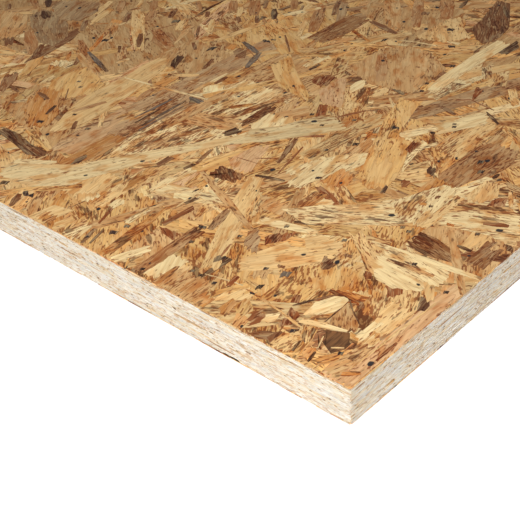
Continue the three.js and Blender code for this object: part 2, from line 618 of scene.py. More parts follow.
def clipped(points: Sequence[Point], normal: Point, offset: float) -> list[Point]:
    """Keeps the part of an outline on one side of a line.

    Args:
        points: The outline, in order.
        normal: The line's unit normal, pointing to the side that goes.
        offset: The line's distance from the origin along the normal.

    Returns:
        The outline that is left, empty if nothing is.
    """
    reach = [x * normal[0] + y * normal[1] - offset for x, y in points]
    if max(reach) <= 0:
        return list(points)
    kept: list[Point] = []
    for index, (x, y) in enumerate(points):
        here, before = reach[index], reach[index - 1]
        if (here <= 0) != (before <= 0):
            share = before / (before - here)
            last_x, last_y = points[index - 1]
            kept.append((last_x + (x - last_x) * share, last_y + (y - last_y) * share))
        if here <= 0:
            kept.append((x, y))
    return kept


def trimmed(points: list[Point], lines: Iterable[tuple[Point, float]]) -> list[Point]:
    """Keeps the part of an outline inside several lines.

    Args:
        points: The outline, in order.
        lines: Each line's unit normal and its distance from the origin along it.

    Returns:
        The outline that is left.
    """
    for normal, offset in lines:
        if len(points) > 2:
            points = clipped(points, normal, offset)
    return points


def area(points: Sequence[Point]) -> float:
    """The area inside an outline, positive when it runs anticlockwise."""
    pairs = zip(points, [*points[1:], points[0]], strict=True)
    return 0.5 * sum(ax * by - bx * ay for (ax, ay), (bx, by) in pairs)


@dataclass(frozen=True)
class Kind:
    """One sort of strand: its sizes in millimetres, its number and its place in the thickness."""

    per_square_metre: float
    length: Span
    width: Span
    height: Span  # of its top over the nominal face; negative is under it
    side_points: int  # on each long side
    teeth: int  # most points on a torn end
    spread: float  # standard deviation of its direction off the sheet's length, in degrees
    stray: float  # share that lies any way at all
    bend: float  # most sideways bow
    tones: dict[Tone, float]
    peels: float = 0.0  # how many torn layers lie on it, on average


@dataclass
class Strand:
    """One strand on a face, in millimetres."""

    SLANT = 0.35  # of half the width, how far each corner of a slanted end shifts
    NARROWED = 0.25  # of the width, at a pointed end
    END_WIDTH = (0.82, 1.0)  # of the width, at any end
    SIDE_SHIFT = 0.35  # of the step between two points of a side
    TOOTH_SHIFT = 0.25  # of the step between two points of a torn end or a drawn side
    TOOTH_REACH = (0.8, 0.10, 6.0)  # at most: of the width, of the length, and in millimetres
    SIDE_STEP, TORN_LOSS = 4.6, 3.4  # between points of a drawn side, and how much less across the grain
    SPIKE = (0.2, 1.9)  # that torn fibres stick out of a drawn side
    ROUGH = 0.25  # standard deviation of a drawn side
    FULL_SIZE = 7  # width from which spikes have their full size

    x: float
    y: float
    length: float
    width: float
    angle: float
    height: float
    tone: Colour
    fleck: float
    figure: float
    shift: Point  # from which its grain pattern is read
    ends: tuple[EndCut, EndCut] = (EndCut.SQUARE, EndCut.SQUARE)
    side_points: int = 2
    teeth: int = 0
    bend: float = 0.0
    tilt: Point = (0.0, 0.0)
    drawn: tuple[Point, ...] = ()  # its outline, where it was listed

    def place(self, along: float, across: float) -> Point:
        """Turns a point of the strand's own frame into one of the sheet's.

        Args:
            along: Its place along the strand, from the middle.
            across: Its place across it.

        Returns:
            The point.
        """
        bowed = across + self.bend * (1 - (2 * along / self.length) ** 2)
        cosine, sine = math.cos(self.angle), math.sin(self.angle)
        return self.x + along * cosine - bowed * sine, self.y + along * sine + bowed * cosine

    def grain(self, x: np.ndarray, y: np.ndarray) -> tuple[np.ndarray, np.ndarray]:
        """Turns points of the sheet into places in the strand's grain.

        Args:
            x: The points' X.
            y: Their Y.

        Returns:
            Their places along the strand, and those across it.
        """
        cosine, sine = math.cos(self.angle), math.sin(self.angle)
        along = (x - self.x) * cosine + (y - self.y) * sine
        across = (y - self.y) * cosine - (x - self.x) * sine
        return along, across - self.bend * (1 - (2 * along / self.length) ** 2)

    def charts(self, points: np.ndarray) -> tuple[np.ndarray, np.ndarray]:
        """Maps points of the sheet onto the strand.

        Args:
            points: The points, in millimetres.

        Returns:
            Their place in the grain in metres, and (share of the half width, half width in metres).
        """
        along, across = self.grain(points[:, 0], points[:, 1])
        grain = np.column_stack([along + self.shift[0], across + self.shift[1]]) * MM
        half = self.width / 2
        return grain, np.column_stack([across / half, np.full(len(points), half * MM)])

    def outline(self, rng: Dice) -> list[Point]:
        """Draws the strand's outline.

        Args:
            rng: The source of its unevenness.

        Returns:
            The outline, anticlockwise, in the sheet's frame.
        """
        if self.drawn:
            return self._torn(rng)
        half = self.width / 2
        lower = [(u, -v) for u, v in self._side(rng, half)]
        upper = self._side(rng, half)[::-1]
        lean = (-self.SLANT, self.SLANT)
        slants = [rng.choice(lean) * half if cut is EndCut.SLANTED else 0.0 for cut in self.ends]
        lower[0] = (lower[0][0] + slants[0], lower[0][1])
        upper[-1] = (upper[-1][0] - slants[0], upper[-1][1])
        lower[-1] = (lower[-1][0] + slants[1], lower[-1][1])
        upper[0] = (upper[0][0] - slants[1], upper[0][1])
        right = self._end(rng, self.ends[1], lower[-1], upper[0], 1.0)
        left = self._end(rng, self.ends[0], upper[-1], lower[0], -1.0)
        return [self.place(u, v) for u, v in [*lower, *right, *upper, *left]]

    def _torn(self, rng: Dice) -> list[Point]:
        """Roughens the drawn outline: fibres stick out along the grain where it is torn across.

        Args:
            rng: The source of its unevenness.

        Returns:
            The rough outline.
        """
        cosine, sine = math.cos(self.angle), math.sin(self.angle)
        small = min(1.0, self.width / self.FULL_SIZE)
        points = []
        for index, (x, y) in enumerate(self.drawn):
            next_x, next_y = self.drawn[(index + 1) % len(self.drawn)]
            side = math.hypot(next_x - x, next_y - y) or 1.0
            torn = abs((next_y - y) * cosine - (next_x - x) * sine) / side
            steps = max(1, round(side / (self.SIDE_STEP - self.TORN_LOSS * torn)))
            points.append((x, y))
            for step in range(1, steps):
                share = (step + rng.uniform(-self.TOOTH_SHIFT, self.TOOTH_SHIFT)) / steps
                spike = rng.uniform(*self.SPIKE) * torn * (1 if step % 2 else -1)
                out = (spike + rng.normal(0, self.ROUGH)) * small
                level = y + (next_y - y) * share + out * sine
                points.append((x + (next_x - x) * share + out * cosine, level))
        return points

    def _side(self, rng: Dice, half: float) -> list[Point]:
        """Draws one long side, from the left end to the right one.

        Args:
            rng: The source of its unevenness.
            half: Half of the strand's width.

        Returns:
            Its points as (along, half width).
        """
        points = []
        narrow = [self.NARROWED if cut is EndCut.POINTED else 1.0 for cut in self.ends]
        slopes = rng.uniform(*self.END_WIDTH, 2)
        for index in range(self.side_points):
            share = index / (self.side_points - 1)
            inner = 0 < index < self.side_points - 1
            wide = (narrow[0] * slopes[0]) * (1 - share) + (narrow[1] * slopes[1]) * share
            if inner:
                wide = max(wide, 0.9) + 0.08 - 0.34 * rng.random() ** 2.4
                share += rng.uniform(-self.SIDE_SHIFT, self.SIDE_SHIFT) / (self.side_points - 1)
            points.append(((share - 0.5) * self.length, half * wide))
        return points

    def _end(self, rng: Dice, cut: EndCut, start: Point, stop: Point, sign: float) -> list[Point]:
        """Points of one end, between its two corners.

        Args:
            rng: The source of its unevenness.
            cut: How the strand ends.
            start: The corner where the end begins.
            stop: The corner where it stops.
            sign: 1 at the right end, -1 at the left.

        Returns:
            The points between the corners, none for a square cut.
        """
        if cut in (EndCut.SQUARE, EndCut.SLANTED) or self.teeth < 1:
            return []
        of_width, of_length, most = self.TOOTH_REACH
        reach = min(self.width * of_width, self.length * of_length, most)
        if cut is EndCut.POINTED:
            return [(start[0] + sign * reach, (start[1] + stop[1]) / 2)]
        count = int(rng.integers(2, self.teeth + 1)) if self.teeth > 2 else self.teeth
        points = []
        outward = 1.0 if rng.random() < 0.5 else -1.0
        for index in range(count):
            share = (index + 1 + rng.uniform(-self.TOOTH_SHIFT, self.TOOTH_SHIFT)) / (count + 1)
            depth = outward * reach * rng.uniform(0.25, 1.0)
            points.append((start[0] + sign * depth, start[1] + (stop[1] - start[1]) * share))
            outward = -outward
        return points


@dataclass(frozen=True)
class Laid:
    """A listed strand by the front left corner.

    Its outline's points are (in from the front edge, in from the left edge), in millimetres.
    """

    tone: Tone
    turn: float  # degrees from the sheet's length to its grain
    outline: tuple[Point, ...]
    fleck: float = 0.5  # -1 is smooth, 2 is full of dashes
    figure: float = 0.2
    light: float = 1.0

    def strand(self, size: Point, height: float, rng: Dice, apart: float) -> Strand:
        """Makes the strand.

        Args:
            size: The sheet's length and width.
            height: Where its top lies.
            rng: The source of its grain.
            apart: How far two strands' grain patterns may lie from each other.

        Returns:
            The strand.
        """
        points = [(along - size[0] / 2, across - size[1] / 2) for across, along in self.outline]
        if area(points) < 0:
            points.reverse()
        angle = math.radians(self.turn)
        cosine, sine = math.cos(angle), math.sin(angle)
        along = [x * cosine + y * sine for x, y in points]
        across = [y * cosine - x * sine for x, y in points]
        middle_u, middle_v = (max(along) + min(along)) / 2, (max(across) + min(across)) / 2
        return Strand(
            x=middle_u * cosine - middle_v * sine,
            y=middle_u * sine + middle_v * cosine,
            length=max(along) - min(along),
            width=max(across) - min(across),
            angle=angle,
            height=height,
            tone=tuple(min(1.0, channel * self.light) for channel in self.tone.colour),
            fleck=self.fleck,
            figure=self.figure,
            shift=tuple(rng.uniform(0, apart, 2).tolist()),
            drawn=tuple(points),
        )


def strip(
    tone: Tone, start: Point, stop: Point, width: float, fleck: float = 0.2, narrow: float = 0.55
) -> Laid:
    """Lays a thin strand from one point to another, with its grain along it.

    Args:
        tone: Its tone.
        start: Its first end.
        stop: Its other end.
        width: Its width in the middle.
        fleck: How full of dashes it is.
        narrow: How wide its ends are, as a share of its middle.

    Returns:
        The strand.
    """
    across, along = stop[0] - start[0], stop[1] - start[1]
    length = math.hypot(across, along)
    side = (along / length * width / 2, -across / length * width / 2)
    middle = (start[0] + across / 2, start[1] + along / 2)
    outline = [
        (x + side[0] * share, y + side[1] * share)
        for (x, y), share in (
            (start, narrow), (middle, 1.0), (stop, narrow), (stop, -narrow), (middle, -1.0), (start, -narrow)
        )
    ]
    return Laid(tone, math.degrees(math.atan2(across, along)), tuple(outline), fleck)


def speck(across: float, along: float, wide: float = 2.2, long: float = 2.8, tone: Tone = BLACK) -> Laid:
    """Lays a small dark bit, given its middle and its size across and along the sheet."""
    ring = ((-0.5, -0.15), (-0.1, -0.2), (0.1, -0.55), (0.4, -0.2), (0.5, 0.2), (0.1, 0.3), (-0.3, 0.5))
    return Laid(tone, 20.0, tuple((across + x * wide, along + y * long) for x, y in ring), -1.0, 0.0)


class StrandMat:
    """All the strands of one face, laid in a heap and pressed flat."""

    CELL = 1.0  # millimetres, the grid on which hidden strands are found
    LEAST_SEEN = 5  # cells that a strand shows, or else it is left out
    STRAND_SHIFT = 4000.0  # millimetres, how far apart two strands' grain patterns may lie
    TILT = 0.0006  # the standard deviation of a strand's slope
    CUT_ODDS = (0.16, 0.24, 0.46, 0.14)  # of each EndCut
    PEEL_CUTS = {EndCut.TORN: 0.6, EndCut.POINTED: 0.2, EndCut.SLANTED: 0.2}
    PEEL_LENGTH, PEEL_WIDTH = (0.2, 0.65), (0.25, 0.75)  # of the strand's
    PEEL_LEAST = 1.8  # millimetres wide
    PEEL_RISE = (0.012, 0.045)  # millimetres over the strand
    PEEL_TURN = 2.5  # degrees, the standard deviation off the strand
    LAID_STEP = 0.0008  # millimetres from one listed strand up to the next

    def __init__(self, size: Point, kinds: Iterable[Kind], seed: int) -> None:
        """Draws the strands.

        Args:
            size: The sheet's length and width in millimetres.
            kinds: The sorts of strand, from the lowest.
            seed: The seed of this face.
        """
        self.size = size
        self.rng = np.random.default_rng(seed)
        self.strands: list[Strand] = []
        for kind in kinds:
            for strand in self._drawn(kind):
                self.strands.append(strand)
                self.strands += [self._peel(strand) for _ in range(self.rng.poisson(kind.peels))]
        self.strands.sort(key=lambda strand: strand.height)

    def _drawn(self, kind: Kind) -> list[Strand]:
        """Scatters the strands of one sort evenly over the face.

        Args:
            kind: The sort.

        Returns:
            The strands.
        """
        length, width = self.size
        margin = kind.length[1] / 2
        span_x, span_y = length + margin, width + margin
        count = int(kind.per_square_metre * span_x * span_y * 1e-6)
        columns = max(1, round(math.sqrt(count * span_x / span_y)))
        rows = max(1, round(count / columns))
        tones = list(kind.tones)
        odds = np.array([kind.tones[tone] for tone in tones])
        odds = odds / odds.sum()
        rng = self.rng
        strands = []
        for column in range(columns):
            for row in range(rows):
                x = ((column + rng.random()) / columns - 0.5) * span_x
                y = ((row + rng.random()) / rows - 0.5) * span_y
                tone = tones[rng.choice(len(tones), p=odds)]
                strands.append(self._strand(kind, x, y, tone))
        return strands

    def _strand(self, kind: Kind, x: float, y: float, tone: Tone) -> Strand:
        """Draws one strand of a sort at a place.

        Args:
            kind: The sort.
            x: The place's X.
            y: Its Y.
            tone: The strand's tone.

        Returns:
            The strand.
        """
        rng = self.rng
        skew = rng.random() ** 1.5
        length = kind.length[0] + (kind.length[1] - kind.length[0]) * skew
        width = kind.width[0] + (kind.width[1] - kind.width[0]) * rng.random() ** 1.3
        angle = rng.uniform(-90, 90) if rng.random() < kind.stray else rng.normal(0, kind.spread)
        cuts = list(EndCut)
        ends = tuple(cuts[rng.choice(len(cuts), p=self.CUT_ODDS)] for _ in range(2))
        return Strand(
            x=x,
            y=y,
            length=length,
            width=width,
            angle=math.radians(angle),
            height=kind.height[0] + (kind.height[1] - kind.height[0]) * rng.random(),
            tone=self._tinted(tone.colour),
            fleck=float(rng.random() ** 1.6),
            figure=float(rng.random() ** 2.2),
            ends=ends,
            side_points=kind.side_points,
            teeth=kind.teeth,
            bend=float(rng.uniform(-1, 1) * kind.bend),
            tilt=tuple(rng.normal(0, self.TILT, 2).tolist()),
            shift=tuple(rng.uniform(0, self.STRAND_SHIFT, 2).tolist()),
        )

    def _peel(self, strand: Strand) -> Strand:
        """Draws a torn layer that lies on a strand, with the same grain and nearly the same tone.

        Args:
            strand: The strand.

        Returns:
            The layer.
        """
        rng = self.rng
        length = strand.length * rng.uniform(*self.PEEL_LENGTH)
        width = max(self.PEEL_LEAST, strand.width * rng.uniform(*self.PEEL_WIDTH))
        along = rng.uniform(-0.5, 0.5) * (strand.length - length)
        across = rng.uniform(-0.5, 0.5) * (strand.width - width)
        x, y = strand.place(along, across)
        cuts, odds = list(self.PEEL_CUTS), list(self.PEEL_CUTS.values())
        return replace(
            strand,
            x=x,
            y=y,
            length=length,
            width=width,
            angle=strand.angle + math.radians(rng.normal(0, self.PEEL_TURN)),
            height=strand.height + rng.uniform(*self.PEEL_RISE),
            tone=self._tinted(strand.tone, 0.12),
            fleck=float(rng.random() ** 1.6),
            ends=tuple(cuts[rng.choice(len(cuts), p=odds)] for _ in range(2)),
            side_points=3,
            teeth=3,
            bend=0.0,
            shift=tuple(rng.uniform(0, self.STRAND_SHIFT, 2).tolist()),
        )

    def _tinted(self, colour: Colour, spread: float = 0.08) -> Colour:
        """Varies a tone a little from strand to strand.

        Args:
            colour: The tone.
            spread: The standard deviation of its light.

        Returns:
            The varied tone.
        """
        light = self.rng.normal(1.0, spread)
        warm = self.rng.normal(0.0, 0.018)
        scale = (light * (1 + warm), light, light * (1 - warm))
        return tuple(min(1.0, max(0.0, channel * s)) for channel, s in zip(colour, scale, strict=True))

    def cull(self) -> None:
        """Leaves out the strands that others hide."""
        cell = self.CELL
        columns, rows = (int(side / cell) for side in self.size)
        owner = np.full((rows, columns), -1, np.int32)
        centre_x = (np.arange(columns) + 0.5) * cell - self.size[0] / 2
        centre_y = (np.arange(rows) + 0.5) * cell - self.size[1] / 2
        for index, strand in enumerate(self.strands):
            reach = strand.length / 2 + strand.width / 2
            left, right = np.searchsorted(centre_x, (strand.x - reach, strand.x + reach))
            low, high = np.searchsorted(centre_y, (strand.y - reach, strand.y + reach))
            if left == right or low == high:
                continue
            along, across = strand.grain(centre_x[None, left:right], centre_y[low:high, None])
            inside = (np.abs(along) < strand.length * 0.47) & (np.abs(across) < strand.width * 0.42)
            owner[low:high, left:right][inside] = index
        seen = np.bincount(owner[owner >= 0], minlength=len(self.strands))
        self.strands = [
            strand
            for strand, cells in zip(self.strands, seen, strict=True)
            if cells >= self.LEAST_SEEN or strand.width < 2 * cell
        ]

    def lay(self, laid: Iterable[Laid], height: float) -> None:
        """Lays listed strands one by one, each a little over the one before.

        Args:
            laid: The strands, from the lowest.
            height: The height of the first.
        """
        for number, one in enumerate(laid):
            level = height + number * self.LAID_STEP
            self.strands.append(one.strand(self.size, level, self.rng, self.STRAND_SHIFT))


# Meshes.

# A flat face's normal has at least this share along its axis.
FLAT = 0.98
# On the bake map, what lies higher is drawn later; these are for what no strand's height orders.
BED_TOP, BED_SIDE, UNDERSIDE = -10.0, -20.0, -30.0
WALL_STEP = 0.0005


@dataclass
class Faces:
    """Faces to be joined in one mesh, with what each holds, in metres."""

    corners: list[np.ndarray] = field(default_factory=list)  # vertices
    rings: list[list[int]] = field(default_factory=list)
    tones: list[Colour] = field(default_factory=list)
    figures: list[Colour] = field(default_factory=list)
    grains: list[np.ndarray] = field(default_factory=list)  # (corners, 2) for each face
    rims: list[np.ndarray] = field(default_factory=list)  # (corners, 2) for each face
    depths: list[float] = field(default_factory=list)  # higher is drawn later on the bake map
    slots: list[int] = field(default_factory=list)
    count: int = 0

    def vertices(self, points: np.ndarray) -> int:
        """Adds vertices.

        Args:
            points: Their places.

        Returns:
            The number of the first.
        """
        self.corners.append(points)
        self.count += len(points)
        return self.count - len(points)

    def face(
        self,
        ring: list[int],
        tone: Colour,
        figure: Colour,
        grain: np.ndarray,
        depth: float,
        slot: int = 0,
        rim: np.ndarray | None = None,
    ) -> None:
        """Adds one face.

        Args:
            ring: Its vertices.
            tone: Its colour.
            figure: How full of dashes it is, how much of its other figure shows, and 1 on a side, which the
                finishes darken as painted shade.
            grain: Its corners' places in the grain.
            depth: Its order on the bake map.
            slot: Its material.
            rim: Its corners' share of the half width, and the half width.
        """
        self.rings.append(ring)
        self.tones.append(tone)
        self.figures.append(figure)
        self.grains.append(grain)
        self.rims.append(np.zeros_like(grain) if rim is None else rim)
        self.depths.append(depth)
        self.slots.append(slot)

    def mesh(self, name: str, bake: Callable[[np.ndarray, np.ndarray], np.ndarray]) -> Mesh:
        """Joins the faces.

        Args:
            name: The mesh's name.
            bake: Gives the bake map's coordinates from corner places and their faces' middles.

        Returns:
            The mesh, with its attributes and UV maps.
        """
        order = np.argsort(np.array(self.depths), kind="stable")
        places = np.concatenate(self.corners)
        rings = [self.rings[index] for index in order]
        mesh = bpy.data.meshes.new(name)
        mesh.from_pydata(places.tolist(), [], rings)
        totals = np.array([len(ring) for ring in rings])
        loops = np.concatenate([np.array(ring) for ring in rings])
        owner = np.repeat(np.arange(len(rings)), totals)
        middles = np.stack([np.bincount(owner, places[loops, i]) / totals for i in range(3)], axis=1)
        for layer, charts in (("Grain", self.grains), ("Rim", self.rims)):
            chart = mesh.uv_layers.new(name=layer)
            chart.uv.foreach_set("vector", np.concatenate([charts[i] for i in order]).ravel())
        flat = mesh.uv_layers.new(name="OFBake")
        flat.uv.foreach_set("vector", bake(places[loops], middles[owner]).ravel())
        tone = mesh.attributes.new("Tone", "FLOAT_COLOR", "FACE")
        tone.data.foreach_set("color", np.array([(*self.tones[i], 1.0) for i in order]).ravel())
        figure = mesh.attributes.new("Figure", "FLOAT_VECTOR", "FACE")
        figure.data.foreach_set("vector", np.array([self.figures[i] for i in order]).ravel())
        mesh.polygons.foreach_set("material_index", np.array([self.slots[i] for i in order]))
        mesh.update()
        return mesh


@dataclass(frozen=True)
class Slab:
    """How deep a strand goes and how its rim falls away, in millimetres."""

    root: float  # how far its underside lies under the nominal face
    slope: float  # how far its rim spreads on the way down

    def spread(self, points: np.ndarray) -> np.ndarray:
        """Moves an outline outwards by the slope.

        Args:
            points: The outline, anticlockwise.

        Returns:
            The wider outline.
        """
        ahead = np.roll(points, -1, axis=0) - points
        ahead /= np.maximum(np.linalg.norm(ahead, axis=1, keepdims=True), 1e-9)
        out = np.stack([ahead[:, 1], -ahead[:, 0]], axis=1)
        both = out + np.roll(out, 1, axis=0)
        both /= np.maximum(np.linalg.norm(both, axis=1, keepdims=True), 0.5)
        return points + both * self.slope


def walls(below: Sequence[int]) -> list[list[int]]:
    """The walls of a slab whose lower corners come after its upper ones.

    Args:
        below: For each upper corner, the number of the lower corner under it.

    Returns:
        One ring of corners for each side.
    """
    count = len(below)
    rings = []
    for index, under in enumerate(below):
        after = (index + 1) % count
        feet = dict.fromkeys((int(under), int(below[after])))
        rings.append([index, *(count + foot for foot in feet), after])
    return rings


def keel(along: np.ndarray) -> tuple[np.ndarray, int]:
    """Chooses, for each corner of an outline, the end of the ridge that it runs down to.

    Args:
        along: The corners' places along the strand.

    Returns:
        The ends as 0 and 1, and how many ends there are: one where a ridge would fold over itself.
    """
    ends = (along > (along.min() + along.max()) / 2).astype(int)
    if np.count_nonzero(ends != np.roll(ends, -1)) == 2:
        return ends, 2
    return np.zeros_like(ends), 1


def cad_copy(name: str) -> Piece:
    """Copies the panel's solid, with its loose triangles merged.

    Args:
        name: The copy's name.

    Returns:
        The copy, linked and active in object mode.
    """
    bpy.ops.object.select_all(action="DESELECT")
    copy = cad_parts[PANEL].copy()
    copy.data = copy.data.copy()
    copy.name = name
    copy.parent = None
    for key in list(copy.keys()):
        del copy[key]
    copy.data.materials.clear()
    bpy.context.collection.objects.link(copy)
    bpy.context.view_layer.objects.active = copy
    copy.select_set(True)
    bpy.ops.object.mode_set(mode="EDIT")
    bpy.ops.mesh.select_all(action="SELECT")
    bpy.ops.mesh.remove_doubles(threshold=1e-6)
    bpy.ops.object.mode_set(mode="OBJECT")
    return copy


def cut(piece: Piece, place: Vector, normal: Vector, keep_side: bool = True) -> None:
    """Cuts a closed mesh along a plane.

    Args:
        piece: The piece.
        place: A point of the plane.
        normal: The plane's normal. What lies on its side goes, and the cut is filled.
        keep_side: False keeps both sides, and only adds edges along the plane.
    """
    bpy.ops.object.select_all(action="DESELECT")
    piece.select_set(True)
    bpy.context.view_layer.objects.active = piece
    bpy.ops.object.mode_set(mode="EDIT")
    bpy.ops.mesh.select_all(action="SELECT")
    bpy.ops.mesh.bisect(
        plane_co=place, plane_no=normal, use_fill=keep_side, clear_outer=keep_side, threshold=1e-7
    )
    # The fill can leave a hair-thin gap beside a slit.
    bpy.ops.mesh.select_all(action="SELECT")
    bpy.ops.mesh.fill_holes(sides=0)
    bpy.ops.object.mode_set(mode="OBJECT")


def carved(solid: Piece, planes: Iterable[tuple[Vector, Vector]]) -> Piece:
    """Copies a closed solid and cuts it back.

    Args:
        solid: The solid.
        planes: A point of each plane in millimetres, and its normal, towards the side that goes.

    Returns:
        The copy.
    """
    block = solid.copy()
    block.data = solid.data.copy()
    bpy.context.collection.objects.link(block)
    for place, normal in planes:
        cut(block, Vector(place) * MM, Vector(normal))
    return block


def corner_places(mesh: Mesh) -> np.ndarray:
    """Reads the places of a mesh's vertices.

    Args:
        mesh: The mesh.

    Returns:
        The places, one to a row.
    """
    places = np.empty(len(mesh.vertices) * 3)
    mesh.vertices.foreach_get("co", places)
    return places.reshape(-1, 3)


def drop(piece: Piece) -> None:
    """Deletes a piece that has served its purpose, by deleting its mesh."""
    bpy.data.meshes.remove(piece.data)


def publish(name: str, mesh: Mesh, materials: Iterable[Material]) -> Piece:
    """Puts a finished mesh in the scene as a piece of the panel.

    Args:
        name: The piece's name.
        mesh: Its mesh, at its place.
        materials: Its materials, in the order of their slots.

    Returns:
        The piece.
    """
    piece = bpy.data.objects.new(name, mesh)
    bpy.context.collection.objects.link(piece)
    for material in materials:
        mesh.materials.append(material)
    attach(piece, "root")
    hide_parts(PANEL)
    LOG.info("%s: %d faces", name, len(mesh.polygons))
    return piece


@dataclass(frozen=True)
class Hollow:
    """A bed that a missing strand leaves in a face, as points of its floor in millimetres."""

    points: tuple[Point, ...]

    @property
    def middle(self) -> Point:
        """The middle of the bed."""
        xs, ys = zip(*self.points, strict=True)
        return sum(xs) / len(xs), sum(ys) / len(ys)

    def reach(self, normal: Point) -> float:
        """How far the bed reaches along a direction."""
        return max(x * normal[0] + y * normal[1] for x, y in self.points)

    def spared_by(self, points: list[Point], toward: Point, margin: float) -> list[Point]:
        """Cuts an outline back so that it leaves the bed open.

        Args:
            points: The outline.
            toward: The strand's own middle, on the side that stays.
            margin: How much to leave around the bed.

        Returns:
            The outline that is left.
        """
        middle = self.middle
        away = (toward[0] - middle[0], toward[1] - middle[1])
        distance = math.hypot(*away) or 1.0
        normal = (-away[0] / distance, -away[1] / distance)
        offset = -self.reach((-normal[0], -normal[1])) - margin
        return clipped(points, normal, offset)


def islands(mesh: Mesh, wanted: Callable[[Polygon], bool]) -> Iterator[set[int]]:
    """Finds the groups of touching faces that pass a test.

    Args:
        mesh: A merged mesh.
        wanted: The test.

    Yields:
        The vertices of each group.
    """
    touching: dict[int, list[int]] = {}
    chosen = [polygon for polygon in mesh.polygons if wanted(polygon)]
    for polygon in chosen:
        for vertex in polygon.vertices:
            touching.setdefault(vertex, []).append(polygon.index)
    corners = {polygon.index: list(polygon.vertices) for polygon in chosen}
    left = set(corners)
    while left:
        queue = [min(left)]
        left.discard(queue[0])
        group: set[int] = set()
        while queue:
            for vertex in corners[queue.pop()]:
                group.add(vertex)
                for other in touching[vertex]:
                    if other in left:
                        left.discard(other)
                        queue.append(other)
        yield group


